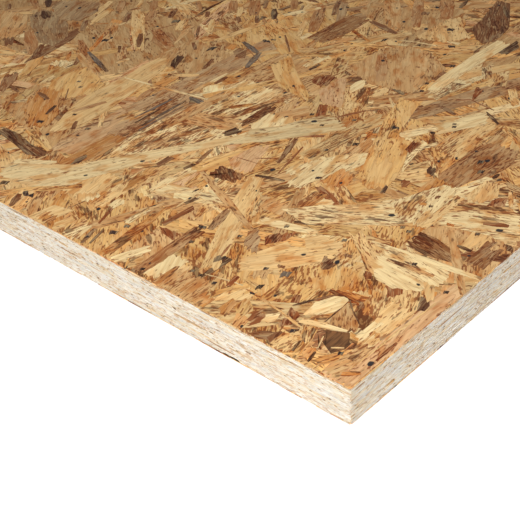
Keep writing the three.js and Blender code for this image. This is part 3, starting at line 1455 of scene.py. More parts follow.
@dataclass
class BoardFace:
    """One face of the sheet: a bed cut from the solid, with pressed strands on it, in square tiles."""

    name: str
    solid: Piece  # the merged copy of the panel
    up: float  # 1 for the upper face, -1 for the lower
    mat: StrandMat
    strand_finish: Material
    bed_finish: Material
    columns: int = 4
    rows: int = 2
    bed_drop: float = 0.30  # millimetres that the bed lies under the nominal face
    edge_depth: float = 6.5  # millimetres that the edge pieces reach in
    slab: Slab = Slab(root=0.55, slope=0.22)
    bed_floors: Span = (0.25, 1.2)  # millimetres that an open bed lies under the face
    bed_reach: float = 26.0  # millimetres, more than an open bed reaches from its middle
    hollow_margin: float = 0.4
    cover_margin: Span = (9.0, 0.6)  # along and across: a strand this near a bed is cut back
    tile_margin: float = 10.0
    on_side: float = 0.4  # millimetres from a tile's side within which a corner lies on it
    least_area: float = 0.3  # square millimetres of a strand in a tile, or else it is left out
    corner_cut: float = 0.9  # millimetres that the rounded corners take off the diagonal
    fray: Span = (0.02, 0.34)  # millimetres that strands stop short of the edge
    hollows: list[Hollow] = field(default_factory=list, init=False)

    def __post_init__(self) -> None:
        """Works out the height of the face."""
        self.low, self.high = (corner / MM for corner in CAD_BOX)
        self.nominal = self.high.z if self.up > 0 else self.low.z

    def build(self) -> list[Piece]:
        """Builds the face's pieces.

        Returns:
            The pieces, one for each tile.
        """
        self.hollows = self._hollows()
        outlines = [self._board_outline(strand) for strand in self.mat.strands]
        pieces = []
        for row in range(self.rows):
            for column in range(self.columns):
                number = row * self.columns + column + 1
                pieces.append(self._tile(f"{self.name}_{number}", column, row, outlines))
        return pieces

    def _hollows(self) -> list[Hollow]:
        """Finds the beds in the solid's face.

        Returns:
            The beds.
        """
        mesh = self.solid.data

        def on_bed(polygon: Polygon) -> bool:
            """Whether a face is the floor of a bed."""
            under = (self.nominal - polygon.center.z / MM) * self.up
            return self.bed_floors[0] < under < self.bed_floors[1] and polygon.normal.z * self.up > FLAT

        found = []
        for group in islands(mesh, on_bed):
            places = [mesh.vertices[index].co / MM for index in sorted(group)]
            found.append(Hollow(tuple((place.x, place.y) for place in places)))
        return found

    def _board_outline(self, strand: Strand) -> list[Point]:
        """Draws a strand and trims it to the sheet and to the open beds.

        Args:
            strand: The strand.

        Returns:
            Its outline.
        """
        rng = self.mat.rng
        points = strand.outline(rng)
        for hollow in self.hollows if not strand.drawn else ():
            x, y = hollow.middle
            if math.hypot(x - strand.x, y - strand.y) < strand.length / 2 + self.bed_reach:
                if self._covers(strand, hollow) and points:
                    points = hollow.spared_by(points, (strand.x, strand.y), self.hollow_margin)
        short = rng.uniform(*self.fray)
        half_x = self.high.x - short
        half_y = self.high.y - short
        diagonal = (half_x + half_y - self.corner_cut) * math.sqrt(0.5)
        lean = math.sqrt(0.5)
        sides = [((1, 0), half_x), ((-1, 0), half_x), ((0, 1), half_y), ((0, -1), half_y)]
        corners = [((sx * lean, sy * lean), diagonal) for sx in (-1, 1) for sy in (-1, 1)]
        return trimmed(points, sides + corners)

    def _covers(self, strand: Strand, hollow: Hollow) -> bool:
        """Tells whether a strand lies over a bed.

        Args:
            strand: The strand.
            hollow: The bed.

        Returns:
            True if it does.
        """
        xs, ys = (np.array(axis) for axis in zip(*hollow.points, strict=True))
        along, across = strand.grain(xs, ys)
        half, past = strand.length / 2, self.cover_margin
        inside = (np.abs(along) < half + past[0]) & (np.abs(across) < strand.width / 2 + past[1])
        crossing = across.min() < 0 < across.max() and along.min() < half and along.max() > -half
        return bool(inside.any() or crossing)

    def _tile(self, name: str, column: int, row: int, outlines: list[list[Point]]) -> Piece:
        """Builds one tile.

        Args:
            name: The piece's name.
            column: Its place along X.
            row: Its place along Y.
            outlines: The outline of each strand of the face.

        Returns:
            The piece.
        """
        step_x = (self.high.x - self.low.x) / self.columns
        step_y = (self.high.y - self.low.y) / self.rows
        west, south = self.low.x + column * step_x, self.low.y + row * step_y
        east, north = west + step_x, south + step_y
        lines = [((1, 0), east), ((-1, 0), -west), ((0, 1), north), ((0, -1), -south)]
        faces = Faces()
        self._bed(faces, (west, east, south, north))
        for strand, points in zip(self.mat.strands, outlines, strict=True):
            if len(points) < 3:
                continue
            reach = strand.length / 2 + self.tile_margin
            if not (west - reach < strand.x < east + reach and south - reach < strand.y < north + reach):
                continue
            inside = trimmed(points, lines)
            if len(inside) > 2 and area(inside) > self.least_area:
                self._lay(faces, strand, np.array(inside), (west, east, south, north))

        def bake(places: np.ndarray, _middles: np.ndarray) -> np.ndarray:
            """The tile seen from straight outside the sheet."""
            across = (places[:, 0] / MM - west) / step_x
            return np.stack([across, (places[:, 1] / MM - south) / step_y], axis=1)

        return publish(name, faces.mesh(name, bake), (self.strand_finish, self.bed_finish))

    def _bed(self, faces: Faces, sides: Sides) -> None:
        """Cuts the tile's half of the thickness out of the solid.

        Args:
            faces: Where the faces go.
            sides: The tile's sides.
        """
        west, east, south, north = sides
        west = max(west, self.low.x + self.edge_depth)
        east = min(east, self.high.x - self.edge_depth)
        south = max(south, self.low.y + self.edge_depth)
        north = min(north, self.high.y - self.edge_depth)
        middle = (self.low.z + self.high.z) / 2 + self.up * self.bed_drop
        planes = [
            ((east, 0, 0), (1, 0, 0)),
            ((west, 0, 0), (-1, 0, 0)),
            ((0, north, 0), (0, 1, 0)),
            ((0, south, 0), (0, -1, 0)),
            ((0, 0, middle), (0, 0, -self.up)),
        ]
        block = carved(self.solid, planes)
        places = corner_places(block.data)
        places[:, 2] -= self.up * self.bed_drop * MM
        first = faces.vertices(places)
        for polygon in block.data.polygons:
            ring = [first + index for index in polygon.vertices]
            spots = places[list(polygon.vertices), :2]
            outward = polygon.normal.z * self.up
            depth = BED_TOP if outward > 0.3 else BED_SIDE
            faces.face(ring, BROWN.colour, (0.0, 0.0, 0.0), spots, depth, 1)
        drop(block)

    def _lay(self, faces: Faces, strand: Strand, points: np.ndarray, sides: Sides) -> None:
        """Lays one strand: a thin closed slab by the sheet's rim or where it was listed, and elsewhere a
        plate with a keel.

        Args:
            faces: Where the faces go.
            strand: The strand.
            points: Its outline in this tile, anticlockwise, in millimetres.
            sides: The tile's sides.
        """
        west, east, south, north = sides
        limit_x, limit_y = self.high.x - self.fray[1] - 0.1, self.high.y - self.fray[1] - 0.1
        to_sides = points[:, [0, 0, 1, 1]] - np.array(sides)
        on_side = (np.abs(to_sides) < self.on_side).any(axis=1)
        at_rim = (np.abs(points[:, 0]) > limit_x) | (np.abs(points[:, 1]) > limit_y)
        count = len(points)
        if at_rim.any() or strand.drawn:
            under = points.copy() if strand.drawn else self.slab.spread(points)
            under[on_side] = points[on_side]
            rim_x, rim_y = self.high.x - self.fray[0], self.high.y - self.fray[0]
            under[:, 0] = under[:, 0].clip(max(west, -rim_x), min(east, rim_x))
            under[:, 1] = under[:, 1].clip(max(south, -rim_y), min(north, rim_y))
            below = np.arange(count)
        else:
            along, across = strand.grain(points[:, 0], points[:, 1])
            below, ends = keel(along)
            middle, reach, offset = (along.min() + along.max()) / 2, np.ptp(along) * 0.3, across.mean()
            places = (-reach, reach) if ends == 2 else (0.0,)
            under = np.array([strand.place(middle + place, offset) for place in places])
        rise = (points[:, 0] - strand.x) * strand.tilt[0]
        level = strand.height + rise + (points[:, 1] - strand.y) * strand.tilt[1]
        top = np.column_stack([points, self.nominal + self.up * level]) * MM
        floor = np.full(len(under), self.nominal - self.up * self.slab.root)
        first = faces.vertices(np.concatenate([top, np.column_stack([under, floor]) * MM]))
        grain, rim = strand.charts(np.concatenate([points, under]))
        turn = slice(None) if self.up > 0 else slice(None, None, -1)
        plain = (strand.fleck, strand.figure, 0.0)
        side = (strand.fleck, strand.figure, 1.0)
        rings = [(list(range(count)), plain, strand.height)]
        if len(under) == count:
            rings.append((list(range(2 * count - 1, count - 1, -1)), side, UNDERSIDE))
        # Walls away from the sheet's sawn rim carry the side flag, which the strand finish paints as shade.
        for wall in walls(below):
            sawn = at_rim[wall[0]] and at_rim[wall[-1]]
            rings.append((wall, plain if sawn else side, strand.height - WALL_STEP))
        for ring, figure, depth in rings:
            ring = ring[turn]
            corners = [first + index for index in ring]
            faces.face(corners, strand.tone, figure, grain[ring], depth, 0, rim[ring])


class EdgeSide(Enum):
    """The four sawn edges, by the direction that each faces."""

    FRONT = (0, -1)
    BACK = (0, 1)
    LEFT = (-1, 0)
    RIGHT = (1, 0)


@dataclass
class SawnEdge:
    """One sawn edge of the sheet: a strip cut from the solid, with thin strand sections on it."""

    side: EdgeSide
    solid: Piece  # the merged copy of the panel
    finish: Material
    seed: int
    pieces: int
    depth: float = 6.5  # millimetres that the strip reaches into the sheet
    skin: float = 0.20  # millimetres from the strip's face out to the nominal edge
    face_drop: float = 0.30  # millimetres that the strip stops short of the sheet's faces
    layer: float = 0.72  # millimetres, a pressed strand's thickness
    section_length: Span = (5.0, 24.0)
    section_root: float = 0.5
    section_half: Span = (0.36, 0.62)  # of a layer, half of a section's height
    section_tip: Span = (0.25, 0.9)  # of that, at its ends
    section_slope: float = 0.006  # standard deviation
    section_bow: float = 0.10  # millimetres, standard deviation
    map_rows: int = 6
    overhang: float = 24.0  # millimetres of a section past its map row
    map_margin: float = 3.0  # millimetres of each map row over the thickness
    slit_clear: Span = (0.6, 1.5)  # millimetres from a slit to the faces and to the edge's ends
    end_band: float = 0.9  # millimetres of the strip's own ends that look along the edge
    skin_depth: float = 0.9  # millimetres in from the edge where the strip's inside starts, painted darker as shade
    core_odds: tuple[float, ...] = (0.42, 0.32, 0.15, 0.08, 0.02, 0.01)  # of each sawn tone
    face_odds: tuple[float, ...] = (0.14, 0.34, 0.06, 0.30, 0.12, 0.04)  # by the sheet's faces
    slits: list[Sides] = field(default_factory=list, init=False)

    def __post_init__(self) -> None:
        """Works out which way the edge runs, and how far."""
        low, high = (corner / MM for corner in CAD_BOX)
        self.run_axis = 0 if self.side.value[0] == 0 else 1
        self.out_axis = 1 - self.run_axis
        self.sign = self.side.value[self.out_axis]
        self.thickness = high.z - low.z
        self.middle_z = (low.z + high.z) / 2
        self.run_low, self.run_high = low[self.run_axis], high[self.run_axis]
        self.limit = high[self.out_axis]
        self.rng = np.random.default_rng(self.seed)

    def build(self) -> list[Piece]:
        """Builds the edge's pieces.

        Returns:
            The pieces, in order along the edge.
        """
        self.slits = self._slits()
        step = (self.run_high - self.run_low) / self.pieces
        made = []
        for number in range(self.pieces):
            start = self.run_low + number * step
            name = f"{self.side.name.lower()}_edge_{number + 1}"
            made.append(self._strip(name, start, start + step))
        return made

    def _slits(self) -> list[Sides]:
        """Finds the mouths of the slits in this edge.

        Returns:
            Each mouth as least and most run, and least and most height, in millimetres.
        """
        mesh = self.solid.data

        def inside(polygon: Polygon) -> bool:
            """Tells whether a face is part of a slit's wall.

            Args:
                polygon: The face.

            Returns:
                True if it is.
            """
            centre = polygon.center / MM
            deep = self.limit - self.sign * centre[self.out_axis]
            from_face = self.thickness / 2 - abs(centre.z - self.middle_z)
            flat = abs(polygon.normal[self.out_axis]) > FLAT
            near_end = min(centre[self.run_axis] - self.run_low, self.run_high - centre[self.run_axis])
            clear = from_face > self.slit_clear[0] and near_end > self.slit_clear[1]
            return 0.02 < deep < self.depth - 0.5 and not flat and clear

        mouths = []
        for group in islands(mesh, inside):
            places = np.array([mesh.vertices[index].co for index in sorted(group)]) / MM
            run, high = places[:, self.run_axis], places[:, 2]
            mouths.append((run.min(), run.max(), high.min(), high.max()))
        return mouths

    def _point(self, run: np.ndarray, out: np.ndarray, up: np.ndarray) -> np.ndarray:
        """Turns distances in millimetres into places in metres.

        Args:
            run: Along the edge.
            out: Out from the nominal edge.
            up: Up from the lower face.

        Returns:
            The places, one to a row.
        """
        places = np.zeros((len(run), 3))
        places[:, self.run_axis] = run
        places[:, self.out_axis] = self.sign * (self.limit + out)
        places[:, 2] = up
        return places * MM

    def _strip(self, name: str, start: float, stop: float) -> Piece:
        """Builds one piece of the edge.

        Args:
            name: The piece's name.
            start: Where it starts along the edge.
            stop: Where it stops.

        Returns:
            The piece.
        """
        faces = Faces()
        row = (stop - start) / self.map_rows
        self._backing(faces, start, stop, row)
        self._sections(faces, start, stop)
        height = self.thickness + self.map_margin

        def bake(places: np.ndarray, middles: np.ndarray) -> np.ndarray:
            """Lays the strip in rows, each a stretch of the edge seen from straight outside.

            Args:
                places: The corners' places.
                middles: Their faces' middles.

            Returns:
                The corners' places on the map.
            """
            run = places[:, self.run_axis] / MM
            number = np.floor((middles[:, self.run_axis] / MM - start) / row).clip(0, self.map_rows - 1)
            inward = self.limit - self.sign * places[:, self.out_axis] / MM
            up = places[:, 2] / MM - self.middle_z
            up = up * (1 + 0.015 * inward.clip(0, self.depth))
            past_end = (run > self.run_high - 0.4).astype(float) - (run < self.run_low + 0.4)
            run = run + inward * past_end
            u = (self.overhang + run - start - number * row) / (row + 2 * self.overhang)
            v = (number + 0.5 + up / height) / self.map_rows
            return np.stack([u, v], axis=1)

        return publish(name, faces.mesh(name, bake), (self.finish,))

    def _backing(self, faces: Faces, start: float, stop: float, row: float) -> None:
        """Cuts the strip out of the solid, with its real slits.

        Args:
            faces: Where the faces go.
            start: Where the strip starts.
            stop: Where it stops.
            row: The length of one row of the bake map.
        """
        run = Vector((1, 0, 0)) if self.run_axis == 0 else Vector((0, 1, 0))
        out = Vector((0, self.sign, 0)) if self.run_axis == 0 else Vector((self.sign, 0, 0))
        planes = [(out * (self.limit - self.depth + self.skin), -out)]
        if self.run_axis == 1:
            start = max(start, self.run_low + self.depth)
            stop = min(stop, self.run_high - self.depth)
        if start > self.run_low:
            planes.append((run * start, -run))
        if stop < self.run_high:
            planes.append((run * stop, run))
        block = carved(self.solid, planes)
        for number in range(1, self.map_rows):
            cut(block, run * (start + number * row) * MM, run, keep_side=False)
        mesh = block.data
        places = corner_places(mesh) / MM
        places[:, self.out_axis] -= self.sign * self.skin
        if self.run_axis == 0:
            places[places[:, 0] < self.run_low + 2, 0] += self.skin
            places[places[:, 0] > self.run_high - 2, 0] -= self.skin
        squeeze = 1 - 2 * self.face_drop / self.thickness
        places[:, 2] = self.middle_z + (places[:, 2] - self.middle_z) * squeeze
        first = faces.vertices(places * MM)
        for polygon in mesh.polygons:
            ring = list(polygon.vertices)
            spots = places[ring][:, [self.run_axis, 2]] * MM
            inward = self.limit - self.sign * float(places[ring, self.out_axis].mean())
            middle = float(places[ring, self.run_axis].mean())
            at_end = min(middle - self.run_low, self.run_high - middle) < self.end_band
            mouth = 0.6 < inward < self.depth - 0.3 and abs(polygon.normal.z) < 0.97
            # Painted shade: slit walls and the inside behind the sections are tan, darker than the cream
            # face.
            hidden = (mouth or inward > self.skin_depth) and not at_end
            tone = SawnTone.TAN if hidden else SawnTone.CREAM
            if at_end:
                spots = places[ring][:, [self.out_axis, 2]] * MM
            faces.face([first + index for index in ring], tone.colour, (0.4, 0.2, 0.0), spots, -inward)
        drop(block)

    def _sections(self, faces: Faces, start: float, stop: float) -> None:
        """Lays the thin strand sections in rows across the thickness.

        Args:
            faces: Where the faces go.
            start: Where the strip starts.
            stop: Where it stops.
        """
        rng = self.rng
        layers = int(self.thickness / self.layer)
        tones = list(SawnTone)
        for index in range(layers):
            outer = abs((index + 0.5) / layers - 0.5) > 0.45
            run = start - rng.uniform(0, self.section_length[1])
            while run < stop:
                length = rng.uniform(*self.section_length)
                if run + length > start:
                    height = (index + 0.5) * self.layer + rng.normal(0, 0.12)
                    tone = tones[rng.choice(len(tones), p=self.face_odds if outer else self.core_odds)]
                    self._section(faces, max(run, start), min(run + length, stop), height, tone)
                run += length * rng.uniform(0.8, 1.4)

    def _section(self, faces: Faces, start: float, stop: float, height: float, tone: SawnTone) -> None:
        """Lays one section: a flat lens with a rim that falls away.

        Args:
            faces: Where the faces go.
            start: Its start along the edge.
            stop: Its end.
            height: Its middle over the sheet's lower face.
            tone: Its colour.
        """
        rng = self.rng
        length = stop - start
        if length < 2.0 or any(
            start < high_run and stop > low_run and abs(height - (low + high) / 2) < (high - low) / 2 + 0.25
            for low_run, high_run, low, high in self.slits
        ):
            return
        slope, bow = rng.normal(0, self.section_slope), rng.normal(0, self.section_bow)
        half = self.layer * rng.uniform(*self.section_half)
        shares = np.array((0.0, rng.uniform(0.3, 0.7), 1.0))
        run = start + length * shares
        rise = height + slope * (run - start) + bow * np.sin(math.pi * shares)
        tip = self.section_tip
        wide = half * np.array((rng.uniform(*tip), rng.uniform(0.85, 1.1), rng.uniform(*tip)))
        outline = np.array([*zip(run, rise - wide, strict=True), *zip(run, rise + wide, strict=True)])
        outline = outline[[0, 1, 2, 5, 4, 3]]
        ridge = np.array([[start + length * share, height] for share in (0.25, 0.75)])
        spots = np.concatenate([outline, ridge])
        spots[:, 0] = spots[:, 0].clip(self.run_low + 0.3, self.run_high - 0.3)
        spots[:, 1] = spots[:, 1].clip(self.face_drop * 0.5, self.thickness - self.face_drop * 0.5)
        count = len(outline)
        out = np.full(len(spots), -rng.uniform(0.0, self.skin * 0.85))
        out[count:] = -self.section_root
        first = faces.vertices(self._point(spots[:, 0], out, spots[:, 1]))
        shift = rng.uniform(0, 3000.0)
        grain = (spots + np.array((shift, shift * 0.31))) * MM
        light = rng.normal(1.0, 0.03)
        colour = tuple(min(1.0, channel * light) for channel in tone.colour)
        fleck, grey = float(rng.random() ** 1.4), float(rng.random() ** 3)
        # Seen from outside, the outline runs anticlockwise only on the front and the right edges.
        turn = slice(None, None, -1) if (self.sign > 0) == (self.run_axis == 0) else slice(None)
        rings = [(list(range(count)), 0.0, out[0])]
        # Section walls carry a side flag of 0.7, which the finish tints darker as painted shade.
        rings += [(wall, 0.7, out[0] - WALL_STEP) for wall in walls((0, 0, 1, 1, 1, 0))]
        for ring, side, depth in rings:
            ring = ring[turn]
            faces.face([first + index for index in ring], colour, (fleck, grey, side), grain[ring], depth)


# Studio.


@dataclass(frozen=True)
class Softbox:
    """A round lamp that faces one point, in metres, watts and degrees."""

    name: str
    place: Triple
    aim: Triple
    size: float
    power: float
    spread: float

    def build(self) -> None:
        """Makes the lamp."""
        data = bpy.data.lights.new(self.name, "AREA")
        data.shape, data.size, data.energy = "DISK", self.size, self.power
        data.spread = math.radians(self.spread)
        lamp = bpy.data.objects.new(self.name, data)
        bpy.context.collection.objects.link(lamp)
        lamp.location = self.place
        lamp.rotation_mode = "QUATERNION"
        lamp.rotation_quaternion = (Vector(self.aim) - Vector(self.place)).to_track_quat("-Z", "Y")


@dataclass
class Studio:
    """A white floor, soft light and the camera over the sheet's front left corner."""

    camera_place: Triple = (-1.4533, -0.79764, 0.28536)
    camera_heading: float = 44.397  # degrees from +X towards +Y
    camera_fall: float = 35.026  # degrees under the horizon
    camera_roll: float = -3.712
    lens: float = 77.27  # millimetres on a sensor 36 wide
    sensor: float = 36.0
    floor_size: float = 16.0
    world_strength: float = 0.14
    # One by the near corner, and two over the rest whose beams stay off that corner.
    softboxes: tuple[Softbox, ...] = (
        Softbox("near", (-1.86, -0.985, 0.775), (-1.24, -0.59, 0.0), 0.6, 3.3, 80.0),
        Softbox("side", (-0.36, 0.27, 1.1), (-0.40, 0.31, 0.0), 0.8, 1.3, 60.0),
        Softbox("far", (0.66, 0.0, 1.4), (0.66, 0.0, 0.0), 1.6, 5.8, 84.0),
    )

    def build(self, lowest: float) -> None:
        """Builds the camera, the light and the floor.

        Args:
            lowest: The height of the panel's lowest point.
        """
        self._camera()
        self._lights()
        self._floor(lowest)

    def _camera(self) -> None:
        """Makes the camera."""
        data = bpy.data.cameras.new("camera")
        data.lens, data.sensor_width = self.lens, self.sensor
        data.clip_start, data.clip_end = 0.01, 50.0
        camera = bpy.data.objects.new("camera", data)
        bpy.context.collection.objects.link(camera)
        heading, fall = math.radians(self.camera_heading), math.radians(self.camera_fall)
        level = math.cos(fall)
        forward = Vector((math.cos(heading) * level, math.sin(heading) * level, -math.sin(fall)))
        roll = Quaternion((0, 0, 1), math.radians(self.camera_roll))
        camera.rotation_mode = "QUATERNION"
        camera.rotation_quaternion = forward.to_track_quat("-Z", "Y") @ roll
        camera.location = self.camera_place
        bpy.context.scene.camera = camera

    def _lights(self) -> None:
        """Makes the even room light, white where the camera sees it, and the softboxes."""
        world = bpy.data.worlds.new("room")
        bpy.context.scene.world = world
        graph = Graph(world)
        seen = graph.node("LightPath").outputs["Is Camera Ray"]
        dim, white = (
            graph.node("Background", {"Color": (1.0, 1.0, 1.0), "Strength": strength}).outputs[0]
            for strength in (self.world_strength, 1.0)
        )
        both = graph.node("MixShader", {0: seen, 1: dim, 2: white})
        graph.node("OutputWorld", {"Surface": both.outputs[0]})
        for softbox in self.softboxes:
            softbox.build()
        bpy.context.scene.view_settings.view_transform = "Standard"

    def _floor(self, lowest: float) -> None:
        """Makes the floor.

        Args:
            lowest: The height of the panel's lowest point.
        """
        bpy.ops.object.select_all(action="DESELECT")
        bpy.ops.mesh.primitive_plane_add(size=self.floor_size, location=(0, 0, lowest))
        floor = bpy.context.active_object
        floor.name = "floor"
        bpy.ops.object.transform_apply(location=True, rotation=True, scale=True)
        floor.data.materials.append(FloorFinish().build())
        floor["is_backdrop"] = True


# The panel.


# How often each tone comes.
COMMON_TONES = {
    STRAW: 32, GOLDEN: 32, TAN: 18, CREAM: 8, PINK: 3, ORANGE: 3, RUST: 1, BROWN: 1.5, GREY: 1.5
}
CHIP_TONES = {CREAM: 26, STRAW: 20, ORANGE: 10, RUST: 13, BROWN: 13, GOLDEN: 14, DARK: 4}
SPLINTER_TONES = {CREAM: 30, STRAW: 22, RUST: 20, BROWN: 18, DARK: 10}

UPPER_KINDS = (
    Kind(650, (110, 170), (24, 40), (-0.24, -0.14), 3, 0, 38, 0.10, 0, COMMON_TONES),
    Kind(1600, (80, 140), (10, 24), (-0.16, -0.04), 4, 2, 42, 0.14, 2, COMMON_TONES, 0.5),
    Kind(2100, (40, 105), (5, 15), (-0.09, 0.0), 5, 4, 46, 0.18, 3, COMMON_TONES, 0.7),
    Kind(1400, (6, 20), (2.2, 6.0), (-0.04, 0.02), 3, 3, 50, 0.5, 0, CHIP_TONES),
    Kind(300, (14, 40), (0.5, 1.2), (-0.02, 0.03), 3, 0, 45, 0.4, 4, SPLINTER_TONES),
)
LOWER_KINDS = (
    Kind(650, (110, 170), (24, 40), (-0.24, -0.14), 2, 0, 38, 0.10, 0, COMMON_TONES),
    Kind(1300, (80, 140), (12, 26), (-0.16, -0.04), 3, 2, 42, 0.14, 0, COMMON_TONES, 0.3),
    Kind(1500, (45, 110), (7, 17), (-0.09, 0.0), 4, 3, 46, 0.18, 3, COMMON_TONES, 0.4),
    Kind(600, (7, 24), (2.6, 7.0), (-0.04, 0.02), 3, 2, 50, 0.5, 0, CHIP_TONES),
)

# Strands listed one by one about the front left corner, from the lowest.
CORNER_GROUND = (
    Laid(TAN, 30, ((42, 84), (0, 84), (0, 112), (42, 112))),
    Laid(GOLDEN, 25, ((63, 76), (39, 76), (39, 112), (63, 112)), 0.4),
    Laid(GOLDEN, -40, ((81, 74), (60, 74), (60, 112), (81, 112)), 0.8, 0.2, 0.93),
    Laid(GOLDEN, -20, ((132, 80), (79, 78), (79, 114), (132, 114)), 0.6),
    Laid(GOLDEN, 38, ((114, 43), (82, 43), (78, 16), (80, 0), (114, 0)), 1.5),
    Laid(TAN, 45, ((133, 40), (111, 40), (111, 68), (133, 68)), 0.8),
    Laid(TAN, 50, ((132, 0), (117, 0), (117, 42), (132, 42)), 0.7, 0.2, 1.08),
    Laid(STRAW, 10, ((76, 42), (51, 40), (49, 66), (72, 68)), 0.6),
    Laid(STRAW, 25, ((42, 64), (20, 64), (5, 58), (6, 26), (20, 29), (33, 41), (42, 43)), 0.7),
    Laid(GOLDEN, 40, ((80, 43), (61, 45), (60, 15), (81, 17)), -0.6, 0.3),
    Laid(GOLDEN, 8, ((63, 45), (40, 44), (38, 18), (62, 16)), 1.7),
    Laid(PINK, 0, ((16, 26), (7, 26), (6, 0), (14, 0), (15, 14)), 0.3),
    Laid(PINK, 0, ((8, 75), (0, 75), (0, 0), (7, 0)), -0.4, 0.5, 0.94),
    Laid(GOLDEN, 35, ((82, 18), (44, 17), (38, 0), (82, 0)), 1.0, 0.2, 0.9),
    Laid(GOLDEN, 53, ((262, 196), (200, 180), (200, 262), (262, 262)), -0.4, 0.2, 0.92),
    Laid(TAN, 50, ((430, 205), (328, 208), (328, 88), (430, 92)), -0.5, 0.2, 0.8),
    Laid(TAN, 25, ((212, 290), (172, 318), (150, 300), (152, 262), (190, 262), (208, 270)), -0.3, 0.2, 0.86),
    Laid(TAN, 5, ((122, 312), (96, 282), (97, 240), (110, 240), (121, 262)), 0.3, 0.2, 0.84),
    Laid(TAN, 56, ((332, 110), (262, 112), (258, 204), (332, 204)), -0.7, 0.2, 0.8),
    Laid(UMBER, 60, ((288, 177), (279, 181), (268, 175), (270, 163), (280, 165)), -0.2, 0.2, 0.9),
    Laid(TAN, 35, ((262, 182), (226, 180), (226, 145), (262, 148)), -0.4, 0.2, 0.86),
    Laid(TAN, 40, ((292, 62), (226, 44), (226, 66), (262, 92), (290, 88)), 0.2, 0.2, 0.9),
    Laid(TAN, 0, ((207, 204), (162, 190), (163, 156), (207, 158)), 0.4, 0.2, 0.92),
    Laid(GREY, 0, ((227, 206), (212, 204), (213, 50), (226, 46), (229, 100)), -0.6, 0.2, 1.12),
    Laid(GREY, 0, ((230, 98), (215, 92), (213, 49), (226, 45), (230, 60)), -0.4, 0.2, 1.4),
    Laid(GREY, 0, ((220, 136), (199, 134), (200, 74), (215, 73), (221, 90)), 0.6, 0.3, 1.14),
    Laid(CREAM, 0, ((204, 82), (198, 60), (183, 62), (163, 98), (163, 160), (200, 161)), 0.8, 0.1, 1.0),
    Laid(STRAW, 10, ((192, 24), (164, 25), (165, 48), (190, 48)), 0.4, 0.2, 1.05),
    Laid(GOLDEN, 45, ((165, 45), (133, 44), (130, 0), (165, 0)), 0.7),
)

